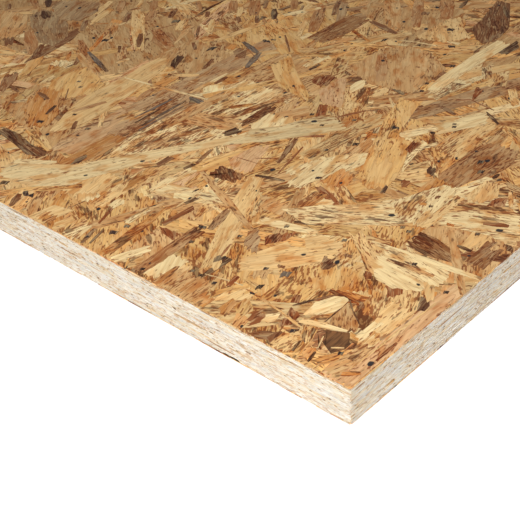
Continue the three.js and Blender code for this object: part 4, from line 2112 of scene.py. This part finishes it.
CORNER_STRANDS = (
    # Along the front edge by the corner, and round the sprung strand.
    Laid(GOLDEN, 25, ((68, 38), (50, 37), (38, 44), (26, 53), (28, 60), (44, 59), (58, 50), (68, 45)), 0.8),
    Laid(CREAM, 10, ((104, 18), (98, 16), (92, 5), (97, 3), (103, 10)), 0.0),
    strip(PINK, (4.0, 1.5), (3.6, 74), 7.4, -0.5, 0.9), strip(TAN, (11, 2), (9.5, 24), 6, 0.4, 0.8),
    strip(STRAW, (6.8, 8), (5.2, 60), 1.2, -0.8), strip(RUST, (2.2, 18), (2.6, 31), 1.6, 0.4),
    strip(ORANGE, (8.8, 3), (2.5, 9), 3.0, 0.2),
    Laid(STRAW, -34, (
        (86, 34), (81, 28), (68, 39), (56, 57), (59, 69), (71, 70), (79, 57), (84, 43),
    ), -0.9, 0.4, 1.05),
    strip(STRAW, (126, 88), (92, 22), 11, -0.4, 0.7),
    Laid(GREY, 10, ((96, 56), (89, 50), (83, 41), (92, 43), (98, 52)), 0.4, 0.2, 1.05),
    Laid(CREAM, -65, ((100, 65), (80, 70), (74, 71), (75, 67), (93, 61), (100, 59)), -0.5),
    Laid(RUST, 20, ((89, 53), (87, 58), (80.5, 64), (80, 58), (85, 48.5)), 0.8, 0.3, 1.2),
    Laid(STRAW, 0, ((20, 50), (8, 50), (8, 33), (12, 31), (17, 36)), 0.3, 0.3, 1.05),
    Laid(CREAM, 5, ((17, 36), (13, 37), (14, 29), (8, 28), (8, 24), (12, 22), (17, 24)), -0.5),
    Laid(RUST, 40, ((27.5, 57), (26, 59.5), (22, 61.5), (19, 57), (22, 50.5), (25, 55)), 0.5),
    Laid(DARK, 10, ((12, 60), (9, 59), (6, 57), (5.5, 53), (8, 51), (10, 55)), 0.2, 0.2, 1.5),
    Laid(RUST, 30, ((40, 60), (36.5, 60), (34.5, 57), (36.5, 55.5), (38.5, 57)), 0.5),
    strip(ORANGE, (35, 56), (28.5, 48.5), 2.5),
    Laid(BROWN, 0, ((29, 42.5), (26.5, 42), (25, 40), (27, 39)), 0.2),
    Laid(TAN, 40, ((32.5, 39), (20, 30.5), (18.5, 27), (21, 25), (32, 23.5)), -0.5, 0.3, 0.82),
    strip(DARK, (32.5, 40.5), (28, 36.5), 0.9), strip(DARK, (28, 36.5), (20, 31), 0.8),
    strip(BROWN, (32.5, 40), (31.5, 24), 0.8),
    Laid(CREAM, -25, ((39, 39), (34, 41), (32.5, 38), (32.5, 31), (36, 26), (41, 22), (42.5, 31)), -0.3),
    strip(BROWN, (39, 40), (44, 32), 1.5), strip(DARK, (44, 32), (48, 24), 1.6),
    Laid(CREAM, -70, ((40, 20.5), (30, 23.5), (21.5, 25.5), (21, 24.5), (27, 21.5), (39, 17.5)), -0.6),
    Laid(BROWN, -30, ((31, 19), (27, 19), (24.5, 13.5), (22, 10), (28, 12)), 0.6, 0.3, 1.5),
    strip(CREAM, (26.5, 17), (23.5, 10), 0.7), strip(CREAM, (20, 13.5), (16, 16.5), 0.8),
    Laid(RUST, 30, ((48, 23), (41.5, 21), (41, 17.5), (46, 18)), 0.3),
    Laid(RUST, 30, ((45.5, 16.5), (40.5, 16), (43, 10.5), (45, 12)), 0.3),
    Laid(RUST, -10, ((58, 14), (52, 13), (51, 8), (53, 3.5), (56, 6)), 0.8, 0.2, 0.9),
    Laid(BROWN, 0, ((42, 8), (39.5, 9), (39.5, 1), (43, 3)), 0.5, 0.2, 1.1),
    Laid(CREAM, -30, ((52.5, 13), (50.5, 16), (48, 16), (47, 12), (48.5, 9.5), (51.5, 9)), -0.4),
    strip(STRAW, (70, 21), (47, 18), 1.5), strip(GOLDEN, (48, 18), (34, 15), 1.6),
    Laid(STRAW, 0, ((40, 10), (31.5, 9), (30.5, 1), (39.5, 1)), -0.2, 0.4),
    Laid(STRAW, 30, ((37, 17), (31, 18), (28.5, 12), (29, 9), (33, 11), (36, 14)), 0.2),
    strip(DARK, (31.5, 9.5), (30, 3), 1.5),
    Laid(ORANGE, 10, ((28, 8), (25, 9), (22.5, 8), (23, 4), (27, 2.5)), -0.2, 0.3, 1.15),
    strip(DARK, (23, 8), (21.5, 2), 1.5),
    Laid(ORANGE, -35, ((21, 3), (19, 9), (16, 13), (14, 11.5), (13.5, 8), (17, 3)), 0.2),
    Laid(TAN, -20, ((13, 14), (8, 12), (7, 1), (14, 2)), 0.6),
    Laid(GOLDEN, 20, ((66, 16), (62, 15), (58, 12), (59, 6), (66, 9)), 0.2, 0.2, 0.9),
    Laid(ORANGE, 10, ((70, 13), (66, 11), (64, 2), (70, 4)), 0.6, 0.2, 0.9),
    strip(BROWN, (58, 57), (53, 51), 2.2),
    Laid(BROWN, 0, ((60, 58), (55, 58), (52, 52), (54, 50), (58, 54)), 0.6),
    Laid(RUST, 10, ((80, 24.5), (77.5, 25), (76, 18), (78, 17)), 0.3),
    speck(93, 29, 5, 6, DARK),
    strip(RUST, (94, 31), (97, 40), 1.4),
    Laid(UMBER, 0, ((119, 40), (112, 40), (111, 2), (117, 2), (118, 20)), 1.2, 0.6, 0.95),
    strip(GREY, (117, 60), (112, 43), 5), strip(TAN, (150, 76), (98, 54), 4.5),
    Laid(CREAM, 0, ((111, 105), (101, 105), (103, 93), (111, 91)), -0.3),
    strip(DARK, (127.5, 89), (113, 93.5), 2.6), strip(RUST, (98, 99), (80, 92), 5, 0.8),
    Laid(TAN, 0, ((96, 95), (89, 95), (89, 81), (96, 81)), 0.5),
    Laid(CREAM, -30, ((89, 93), (84, 93), (75, 81), (76, 80), (88, 81)), -0.2),
    strip(STRAW, (75, 81), (58, 110), 7, -0.2), strip(DARK, (87, 70), (75, 76), 2.4),
    Laid(CREAM, -57, (
        (98, 74), (87, 87), (71, 100), (62, 114), (49, 133), (40, 147), (30, 150), (19, 143), (10, 125),
        (1, 111), (15, 112), (30, 108), (46, 97), (62, 86), (81, 72),
    ), 1.0, 0.1, 0.99),
    strip(CREAM, (60, 108), (32, 152), 9, -0.2),
    Laid(UMBER, 80, ((39, 97), (30, 97), (20, 94), (12, 87), (28, 84), (38, 85)), 0.9, 0.3, 0.68),
    strip(TAN, (29.5, 106), (0, 71), 4.5), strip(DARK, (21, 98), (14, 98), 2.4),
    Laid(BROWN, 0, ((13, 109), (9, 110), (9, 104), (4, 107), (3, 90), (12, 90)), 1.2, 0.6, 1.2),
    strip(CREAM, (51, 78), (0, 84), 4.5, -0.3),
    Laid(CREAM, 80, ((42, 80), (12, 80), (10, 72), (14, 63), (24, 57), (33, 58), (42, 66)), -0.1),
    strip(TAN, (38, 72), (16, 74), 3.2, 0.4),
    Laid(STRAW, 20, ((17, 68), (12, 69), (6, 60), (8, 58)), 0.0),
    Laid(CREAM, 30, ((111, 20), (102, 20), (102, 3), (111, 2)), 0.2),
    Laid(TAN, 0, ((104, 14), (82, 15), (82, 0), (104, 0)), 0.8, 0.3),
    Laid(ORANGE, 0, ((82, 8), (75, 8), (75, 1), (82, 1)), 0.6),
    # Further along the left edge.
    Laid(ORANGE, 0, (
        (214, 75.5), (203.5, 76.5), (201, 60), (202, 50), (208, 38), (212, 40),
    ), -0.9, 0.9, 0.78),
    Laid(DARK, 0, ((207.5, 53), (204.5, 51), (203.5, 45), (206, 42), (208, 47)), 0.2, 0.2, 1.4),
    Laid(CREAM, 50, ((182, 26), (175, 33), (172, 32), (172, 27), (177, 22)), -0.3),
    Laid(CREAM, 0, ((159.5, 63), (157, 75), (152, 75), (152, 68), (156, 48), (158, 48)), -0.3),
    Laid(ORANGE, 0, ((173.5, 57), (169, 57), (166, 45), (166.5, 40), (170, 47)), 0.5, 0.3, 0.75),
    Laid(ORANGE, 0, ((140, 44), (136, 30), (132, 2), (137, 2), (140, 20), (141, 35)), 0.6, 0.3, 0.9),
    Laid(RUST, 0, ((132, 52), (129, 50), (130, 33), (133, 33)), 0.3, 0.2, 0.8),
    Laid(RUST, 60, ((132, 31), (120, 32), (119, 27), (126, 28)), 0.3),
    Laid(PINK, 20, ((148, 92), (146, 110), (140, 113), (134, 97), (131, 90), (138, 86)), -0.7, 0.2),
    strip(RUST, (138, 100.5), (130, 107), 0.7), strip(RUST, (146, 96), (134, 97.5), 0.7),
    Laid(UMBER, 60, ((146, 86), (131, 86), (130, 78), (146, 75)), 1.6, 0.3, 0.8),
    Laid(BROWN, 0, ((173.5, 77), (169.5, 77), (169.5, 66), (173, 68)), 0.3),
    Laid(DARK, 0, ((159, 79), (156.5, 79), (157.5, 72), (159.5, 73)), 0.3),
    strip(BROWN, (161, 94), (157.5, 80), 2.5),
    Laid(DARK, 0, ((166, 117), (161, 115), (164, 109), (168, 109)), 0.3),
    strip(CREAM, (138, 65), (137, 46), 1.2), strip(CREAM, (156, 44), (140, 64.5), 1.8),
    Laid(DARK, 0, ((136.5, 58), (133.5, 58), (135, 50.5), (137, 51)), 0.0, 0.0, 1.2),
    strip(BROWN, (153, 12), (149, 1), 2.6), strip(DARK, (149, 13), (146, 3), 1.6),
    strip(BROWN, (204, 10), (199, 1), 4),
    Laid(ORANGE, 0, ((182, 8), (174, 7), (172, 2), (182, 2)), 0.3),
    Laid(CREAM, 0, ((163, 14), (155, 12), (153, 1), (162, 1)), 0.3),
    strip(RUST, (161, 32), (155, 16), 1.8),
    Laid(CREAM, 20, ((164, 37), (158, 34), (159, 28), (163, 28)), 0.0),
    Laid(RUST, 0, ((230, 43), (224, 43), (223.5, 37), (230, 36)), 0.3, 0.2, 0.8),
    Laid(CREAM, -40, ((231, 30), (214, 40), (212, 34), (216, 24), (231, 19)), 0.2, 0.2, 0.95),
    Laid(CREAM, -32, (
        (231, 24), (203, 44), (192, 62), (180, 82), (160, 112), (150, 124), (141, 121), (160, 100),
        (176, 72), (181, 58), (188, 40), (190, 30), (205, 17), (226, 14),
    ), -0.8, 0.2, 0.9),
    # The middle of what shows.
    Laid(GOLDEN, 51, ((201, 199), (180, 181), (160, 167), (156, 161), (180, 165), (201, 182)), -0.3),
    Laid(CREAM, 20, (
        (165.5, 135), (163, 139), (150, 142), (144, 140), (147, 130), (158, 121), (164, 124),
    ), -0.6),
    Laid(CREAM, -40, (
        (160, 120), (150, 132), (146, 142), (141, 152), (137, 157), (122, 150), (124, 145), (132, 133),
        (139, 124), (146, 114), (155, 110),
    ), -0.7, 0.3, 0.78),
    Laid(UMBER, 0, ((170, 145), (164, 145), (163, 128), (165, 120), (169, 125)), 0.9, 0.2, 0.72),
    Laid(DARK, -20, ((167, 118), (161.5, 116), (166, 109), (168.5, 111)), 0.2),
    Laid(PINK, 35, ((160, 192), (156, 193), (137, 166), (148, 163), (158, 172), (160, 185)), -1.0, 0.3, 0.9),
    Laid(CREAM, 0, ((150, 193), (147, 199), (142.5, 190), (144, 181), (149, 187)), -0.9),
    Laid(STRAW, 30, ((144, 182), (139, 180), (131, 170), (134, 165), (138, 166), (143, 176)), 0.0),
    Laid(UMBER, 30, ((162, 222), (142, 222), (138, 208), (148, 203), (159, 201)), 0.4, 0.3, 0.95),
    Laid(RUST, 20, ((171, 186), (167, 191), (162, 191), (160, 180), (164, 178), (171, 181)), 0.0, 0.3, 0.8),
    strip(DARK, (179.5, 199), (179.5, 190), 2.2, -0.3), strip(DARK, (140, 203), (121, 196.5), 3.5, -0.3),
    Laid(GREY, 40, ((140, 220), (122, 220), (120, 203), (131, 202)), 0.1, 0.3, 0.95),
    Laid(GOLDEN, 27, (
        (120, 192), (108, 193), (100, 168), (97, 160), (88, 158), (82, 146), (75, 132), (72, 118), (78, 111),
        (88, 116), (95, 128), (101, 143), (112, 168),
    ), -0.8, 0.4, 1.05),
    Laid(CREAM, 5, (
        (98, 137), (93, 127), (98, 109), (104, 96), (111, 93), (114, 100), (115, 114), (107, 128),
    ), -0.7, 0.2, 0.95),
    Laid(ORANGE, 20, ((99, 118), (90, 117), (87, 108), (92, 103), (100, 103)), 0.0, 1.0, 1.1),
    strip(RUST, (133, 156), (126, 170), 2), strip(BROWN, (126, 170), (120, 176), 0.8),
    strip(DARK, (76, 205), (64.5, 198), 2.3), strip(BROWN, (98, 197), (87, 194), 3),
    strip(RUST, (95, 207), (90, 212), 1), strip(RUST, (90, 212), (74, 209), 1),
    Laid(STRAW, 0, ((79, 197), (60, 197), (60, 158), (76, 160)), 0.2, 0.4),
    Laid(CREAM, -20, (
        (78, 207), (72, 200), (69, 193), (75, 184), (82, 172), (89, 178), (84, 188),
    ), -0.4, 0.2, 0.9),
    Laid(RUST, 20, ((88, 160), (83, 159), (82, 148), (86, 150)), 0.3, 0.2, 0.85),
    Laid(DARK, 10, ((67.5, 145), (63, 143), (61.5, 138), (65, 138.5), (67, 141)), -0.4, 0.0, 1.2),
    Laid(RUST, 0, ((70, 128), (66, 127), (65.5, 123), (67, 121.5), (70, 125)), 0.2),
    Laid(DARK, 0, ((74, 119), (72, 118), (70, 113), (72, 112)), -0.2),
    Laid(CREAM, 0, ((187, 206), (181, 205), (181, 192), (186, 191)), -0.5),
    strip(BROWN, (134.5, 127), (126.5, 104), 3), strip(RUST, (127, 123), (120, 97), 1.2),
    Laid(CREAM, 0, ((119, 112), (112, 112), (112, 100), (119, 100)), 0.1),
    # Along the right.
    Laid(UMBER, 0, (
        (60, 173), (57, 180), (42, 180), (38, 168), (39, 160), (41, 152), (45, 145), (47, 136), (57, 135),
        (60, 140),
    ), 0.5, 0.6, 0.86),
    Laid(ORANGE, 15, ((60, 138), (51, 136), (53, 131), (58, 122), (60, 124)), 0.4, 0.4, 0.9),
    Laid(CREAM, 10, (
        (51, 135), (46, 136), (44, 130), (40, 100), (52, 100), (60, 105), (64, 108), (58, 122), (54, 131),
    ), 0.3, 0.2, 0.95),
    Laid(CREAM, -20, ((45, 141), (42, 152), (38, 152), (41, 143)), -0.3),
    strip(RUST, (43, 139), (38, 150), 0.8),
    Laid(STRAW, 0, ((43, 130), (38.5, 130), (38, 100), (43, 100)), -0.2),
    Laid(STRAW, 20, ((40, 149), (33, 150), (28, 140), (31, 132), (40, 131)), -0.2),
    Laid(RUST, 20, ((27, 141), (24, 142), (22, 136), (20.5, 134), (28, 130.5), (28.5, 136)), 0.3, 0.3, 1.1),
    Laid(CREAM, -62, (
        (39, 128), (30, 130), (20, 136), (12, 133), (5, 120), (12, 117), (25, 112), (38, 112),
    ), 0.9, 0.1, 0.98),
    Laid(RUST, -50, ((22, 119), (17, 123), (12, 124), (11.5, 122), (17, 119), (21, 117.5)), 0.3, 0.2, 0.8),
    strip(DARK, (26, 148.5), (21.5, 141), 0.9), strip(CREAM, (26, 147), (19, 136.5), 2.6),
    strip(DARK, (38.5, 157.5), (38.5, 152.5), 2.2),
    Laid(GREY, 0, ((6, 110.5), (3, 111), (0.5, 108.5), (0, 106.5), (3, 107)), 0.2, 0.2, 0.6),
    # Far along the left edge, and far in.
    *(strip(*row, -0.5, 0.7) for row in (
        (STRAW, (337, 184), (330, 164), 6), (STRAW, (346, 192), (338, 172), 5),
        (UMBER, (395, 167), (378, 158), 5), (BROWN, (398, 151), (391, 146), 3),
        (BROWN, (357, 121), (346, 111), 6), (UMBER, (340, 197), (330, 185), 5),
        (BROWN, (323, 187), (314, 175), 4), (UMBER, (323, 209), (313, 197), 5),
        (STRAW, (332, 206), (325, 196), 4), (BROWN, (336, 163), (326, 151), 4),
        (UMBER, (312, 198), (304, 185), 7), (BROWN, (302, 206), (296, 196), 4),
        (STRAW, (306, 214), (290, 205), 7), (BROWN, (283, 216), (278, 210), 3),
        (STRAW, (287, 200), (278, 186), 7), (UMBER, (282, 238), (270, 224), 6),
        (UMBER, (271, 246), (256, 228), 8), (BROWN, (265, 250), (258, 240), 3),
        (STRAW, (271, 233), (262, 221), 4), (STRAW, (272, 209), (261, 195), 4),
        (BROWN, (272, 197), (262, 185), 2), (UMBER, (290, 178), (264, 165), 8),
        (BROWN, (263, 221), (256, 216), 3), (BROWN, (254, 229), (247, 221), 3),
        (STRAW, (243, 224), (249, 188), 4.5), (UMBER, (251, 230), (228, 213), 2.4),
        (BROWN, (242, 233), (222, 217), 1.4), (UMBER, (253, 263), (242, 249), 5),
        (STRAW, (238, 260), (232, 242), 5), (STRAW, (227, 244), (214, 221), 4),
        (BROWN, (228, 276), (217, 257), 4), (BROWN, (241, 257), (235, 246), 2),
        (BROWN, (233, 169), (228, 157), 2.5), (BROWN, (302, 131), (292, 117), 3),
        (TAN, (318, 170), (300, 148), 8), (STRAW, (308, 184), (300, 174), 5),
        (BROWN, (258, 178), (250, 172), 2.5), (UMBER, (300, 224), (288, 214), 4),
    )),
    Laid(STRAW, 5, (
        (259, 152), (252, 154), (246, 143), (242, 128), (238, 112), (234, 92), (233, 75), (236, 62),
        (241, 57), (246, 68), (252, 80), (256, 92), (257, 110), (257, 128), (260, 140),
    ), -1.0, 0.1, 0.96),
    strip(UMBER, (242, 97), (248, 79), 4, -0.3),
    Laid(DARK, 35, ((253, 161), (248, 161), (243, 150), (241, 147), (246, 148), (250, 153)), -0.6, 0.2, 1.1),
    strip(SLATE, (235, 196), (216, 189), 4, -0.4), strip(SLATE, (217, 191), (210, 172), 4, -0.1),
    strip(STRAW, (322, 192), (276, 152), 9, -1.0), strip(UMBER, (316, 141), (286, 123), 6, -0.3),
    strip(SLATE, (299, 133), (270, 122), 3.4, -0.4), strip(TAN, (302, 128), (262, 110), 6, -0.6),
    strip(GOLDEN, (322, 118), (306, 92), 8, -0.6),
    Laid(GOLDEN, 30, (
        (285, 119), (268, 114), (258, 110), (256, 98), (262, 87), (276, 84), (287, 96),
    ), -0.8, 0.3),
    strip(CREAM, (290, 101), (288, 88), 4, -0.3), strip(BROWN, (271, 95), (262, 85), 0.9, -0.3),
    Laid(ORANGE, 38, (
        (284, 88), (272, 90), (262, 80), (252, 73), (246, 60), (254, 53), (268, 62), (280, 74),
    ), -0.1, 0.1, 0.9),
    strip(BROWN, (281, 82), (270, 80), 3.4, -0.3), strip(DARK, (261, 78), (257, 68), 2.6, -0.3),
    strip(BROWN, (238, 73), (233, 66), 2.6), strip(UMBER, (233, 123), (230, 108), 5, 0.1),
    strip(STRAW, (252, 56), (226, 46), 3.4, 0.2), strip(GOLDEN, (252, 51), (225, 44), 2.6, 0.2),
    Laid(DARK, 80, (
        (262, 46), (250, 46), (238, 43), (225, 43), (224, 38), (231, 35), (245, 38), (264, 41),
    ), 0.3, 0.5, 1.25),
    strip(BROWN, (240, 41), (224, 40), 4, 0.4, 0.8), strip(SLATE, (215.5, 120), (216.5, 94), 1.6, -0.3),
    strip(SLATE, (208.5, 123), (207, 90), 2.0), strip(DARK, (212.5, 108), (212, 90), 1.2),
    strip(SLATE, (205, 118), (204.5, 86), 1.2),
    Laid(BROWN, 0, ((231, 188), (224, 187), (219, 180), (222, 178), (230, 182)), -0.5),
    Laid(ORANGE, 20, ((238, 190), (233, 189), (232, 184), (237, 183)), -0.8),
    strip(STRAW, (237, 140), (225, 149), 4, -0.3),
    Laid(ORANGE, 0, ((239, 137), (231, 138), (230, 128), (236, 126)), -0.3),
    strip(BROWN, (210.5, 157), (210, 147), 3, -0.3), strip(CREAM, (213, 160), (213, 131), 3, -0.3),
    strip(CREAM, (256, 122.5), (200, 131), 2, -0.3),
    Laid(SLATE, 80, ((210, 128), (201, 129), (200, 125), (206, 123)), -0.7, 0.0, 0.8),
    Laid(BROWN, 5, ((331, 152), (325, 148), (320, 138), (316, 115), (318, 101), (326, 118)), -0.3, 0.3, 1.05),
    Laid(RUST, 40, ((314, 85), (309, 90), (304, 85), (297, 70), (301, 70), (309, 78)), 0.0, 0.2, 0.9),
    Laid(CREAM, 50, ((306, 112), (300, 118), (294, 116), (296, 110), (304, 108)), -0.8),
    strip(BROWN, (293, 169), (280, 155), 4, -0.4),
    Laid(GREY, 55, (
        (372, 158), (358, 160), (340, 152), (326, 140), (322, 126), (334, 124), (358, 137), (370, 146),
    ), -0.6, 0.2, 0.8),
    strip(UMBER, (352, 131), (324, 112), 9, -0.2), strip(BROWN, (330, 124), (318, 108), 5, -0.4),
    Laid(GREY, 20, ((380, 168), (366, 180), (350, 186), (340, 176), (338, 160), (350, 154)), -0.8, 0.2, 0.88),
    Laid(TAN, 40, ((392, 142), (372, 146), (358, 134), (352, 120), (362, 110), (380, 126)), -1.0, 0.2, 1.05),
    strip(DARK, (384, 172), (373, 163), 5, -0.6), strip(DARK, (369, 157), (358, 150), 7, -0.6),
    Laid(TAN, 32, (
        (164, 236), (152, 246), (138, 246), (120, 234), (118, 200), (144, 196), (163, 204),
    ), -0.7, 0.4, 0.92),
    strip(UMBER, (160, 230), (140, 202), 7, -0.5, 0.7), strip(TAN, (138, 240), (121, 208), 6, -0.4, 0.7),
    strip(UMBER, (180, 322), (158, 290), 9, -0.2, 0.7), strip(TAN, (206, 300), (176, 262), 11, 0.2, 0.7),
    strip(UMBER, (192, 310), (166, 270), 7, -0.4, 0.7), strip(UMBER, (232, 264), (211, 230), 8, -0.5, 0.7),
    strip(GREY, (224, 276), (207, 250), 6, -0.5, 0.7),
    Laid(UMBER, 0, ((209, 262), (194, 262), (193, 240), (196, 221), (208, 221)), 0.2, 0.4, 0.75),
    strip(BROWN, (193, 262), (170, 256), 5, -0.6), strip(DARK, (164, 320), (161, 308), 3, -0.6),
    Laid(BROWN, 30, (
        (149, 330), (140, 330), (129, 312), (122, 300), (119, 285), (122, 273), (128, 275), (139, 287),
        (141, 300),
    ), -0.2, 0.4, 0.85),
    strip(DARK, (141, 325), (130, 312), 3.5, -0.6),
    Laid(CREAM, 0, (
        (118, 282), (109, 280), (109, 230), (108.5, 209), (114, 208), (117, 222), (118, 250),
    ), -1.0),
    Laid(DARK, 0, ((109, 287), (103, 280), (104, 268), (109, 268)), -0.3),
    Laid(STRAW, 35, (
        (157, 290), (152, 296), (147, 294), (142, 284), (132, 276), (140, 262), (158, 258),
    ), -0.5),
    strip(DARK, (252.5, 243), (242, 231), 4.5, -0.6),
    Laid(DARK, 0, ((251, 231), (247, 230), (248, 223)), -0.8),
    strip(GOLDEN, (240, 228), (202, 200), 14, -0.6, 0.8), strip(BROWN, (221, 217), (203.5, 201), 1.6, -0.6),
    strip(CREAM, (241, 238), (230, 260), 5, -0.6),
)

CORNER_SPECKS = tuple(speck(*place) for place in (
    (113.5, 4), (83, 15.5), (91, 16), (96, 16), (73, 36), (111.5, 31), (98, 47), (92, 31), (60.5, 72),
    (87, 65), (47, 95), (43, 94), (27, 76), (6, 68), (37.5, 12), (15, 13), (102, 105), (145, 151),
    (124, 159), (81.5, 185), (80, 182.5), (118.5, 214), (115.5, 205), (102.5, 104.5), (116, 127), (19, 110),
    (35.5, 153), (133.5, 145), (273, 104), (267, 100), (244.5, 77), (217, 270), (150, 250.5),
    (66.5, 25, 2.2, 5), (66, 20, 3, 1.2), (116, 42, 4.5, 3), (218, 11.5, 4, 4.5), (200, 11.5, 8, 3),
    (144, 15, 4, 4), (143, 22, 3, 3), (227, 71, 2.5, 3.5), (140, 62, 1, 4), (108, 140, 3, 4),
    (102.5, 164.5, 5, 3), (85, 171.5, 3, 2), (51, 161.5, 3, 5), (46, 154, 3, 5), (47, 116, 2, 2.5),
    (243, 178, 3.5, 8), (288.5, 193.5, 5, 6), (303, 149.5, 4, 5), (253, 61, 4, 4), (147.5, 278, 4.5, 5),
    (170, 245, 2, 6), (119.5, 239, 3, 4), (134, 259.5, 5, 3), (222, 208, 3.5, 2.5), (224, 204, 6, 3),
    (69, 41, 4, 2.5, BROWN), (64, 38, 4, 6, SLATE), (52, 64, 4, 3, BROWN), (51, 115.5, 4, 3, ORANGE),
    (32, 109, 4, 2.5, ORANGE), (49, 124, 2, 4, BROWN), (173, 289, 5, 6, BROWN),
))


@dataclass
class StrandPanel:
    """The whole sheet: two faces and four sawn edges."""

    upper_seed: int = 11
    lower_seed: int = 23
    edge_seed: int = 31
    long_edge_pieces: int = 4
    short_edge_pieces: int = 2
    ground_height: float = -0.03  # millimetres over the nominal face, of the first listed strand
    strands_height: float = 0.035

    def build(self) -> list[Piece]:
        """Builds the sheet.

        Returns:
            Its pieces.
        """
        low, high = (corner / MM for corner in CAD_BOX)
        size = (high.x - low.x, high.y - low.y)
        solid = cad_copy("panel_solid")
        strand_finish = StrandFinish().build()
        bed_finish = BedFinish().build()
        sawn_finish = SawnFinish().build()
        pieces = []
        for name, up, kinds, seed in (
            ("upper_face", 1.0, UPPER_KINDS, self.upper_seed),
            ("lower_face", -1.0, LOWER_KINDS, self.lower_seed),
        ):
            mat = StrandMat(size, kinds, seed)
            mat.cull()
            if up > 0:
                mat.lay(CORNER_GROUND, self.ground_height)
                mat.lay(CORNER_STRANDS + CORNER_SPECKS, self.strands_height)
            LOG.info("%s: %d strands", name, len(mat.strands))
            pieces += BoardFace(name, solid, up, mat, strand_finish, bed_finish).build()
        for order, side in enumerate(EdgeSide):
            count = self.short_edge_pieces if side.value[0] else self.long_edge_pieces
            pieces += SawnEdge(side, solid, sawn_finish, self.edge_seed + order, count).build()
        drop(solid)
        return pieces


def main() -> None:
    """Builds the dressed panel and its studio."""
    logging.basicConfig(level=logging.INFO, format="%(name)s: %(message)s")
    pieces = StrandPanel().build()
    visual_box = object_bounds()
    Studio().build(visual_box[0].z)
    triangles = sum(len(polygon.vertices) - 2 for piece in pieces for polygon in piece.data.polygons)
    LOG.info("%d pieces, %d triangles", len(pieces), triangles)


if __name__ == "__main__":
    main()
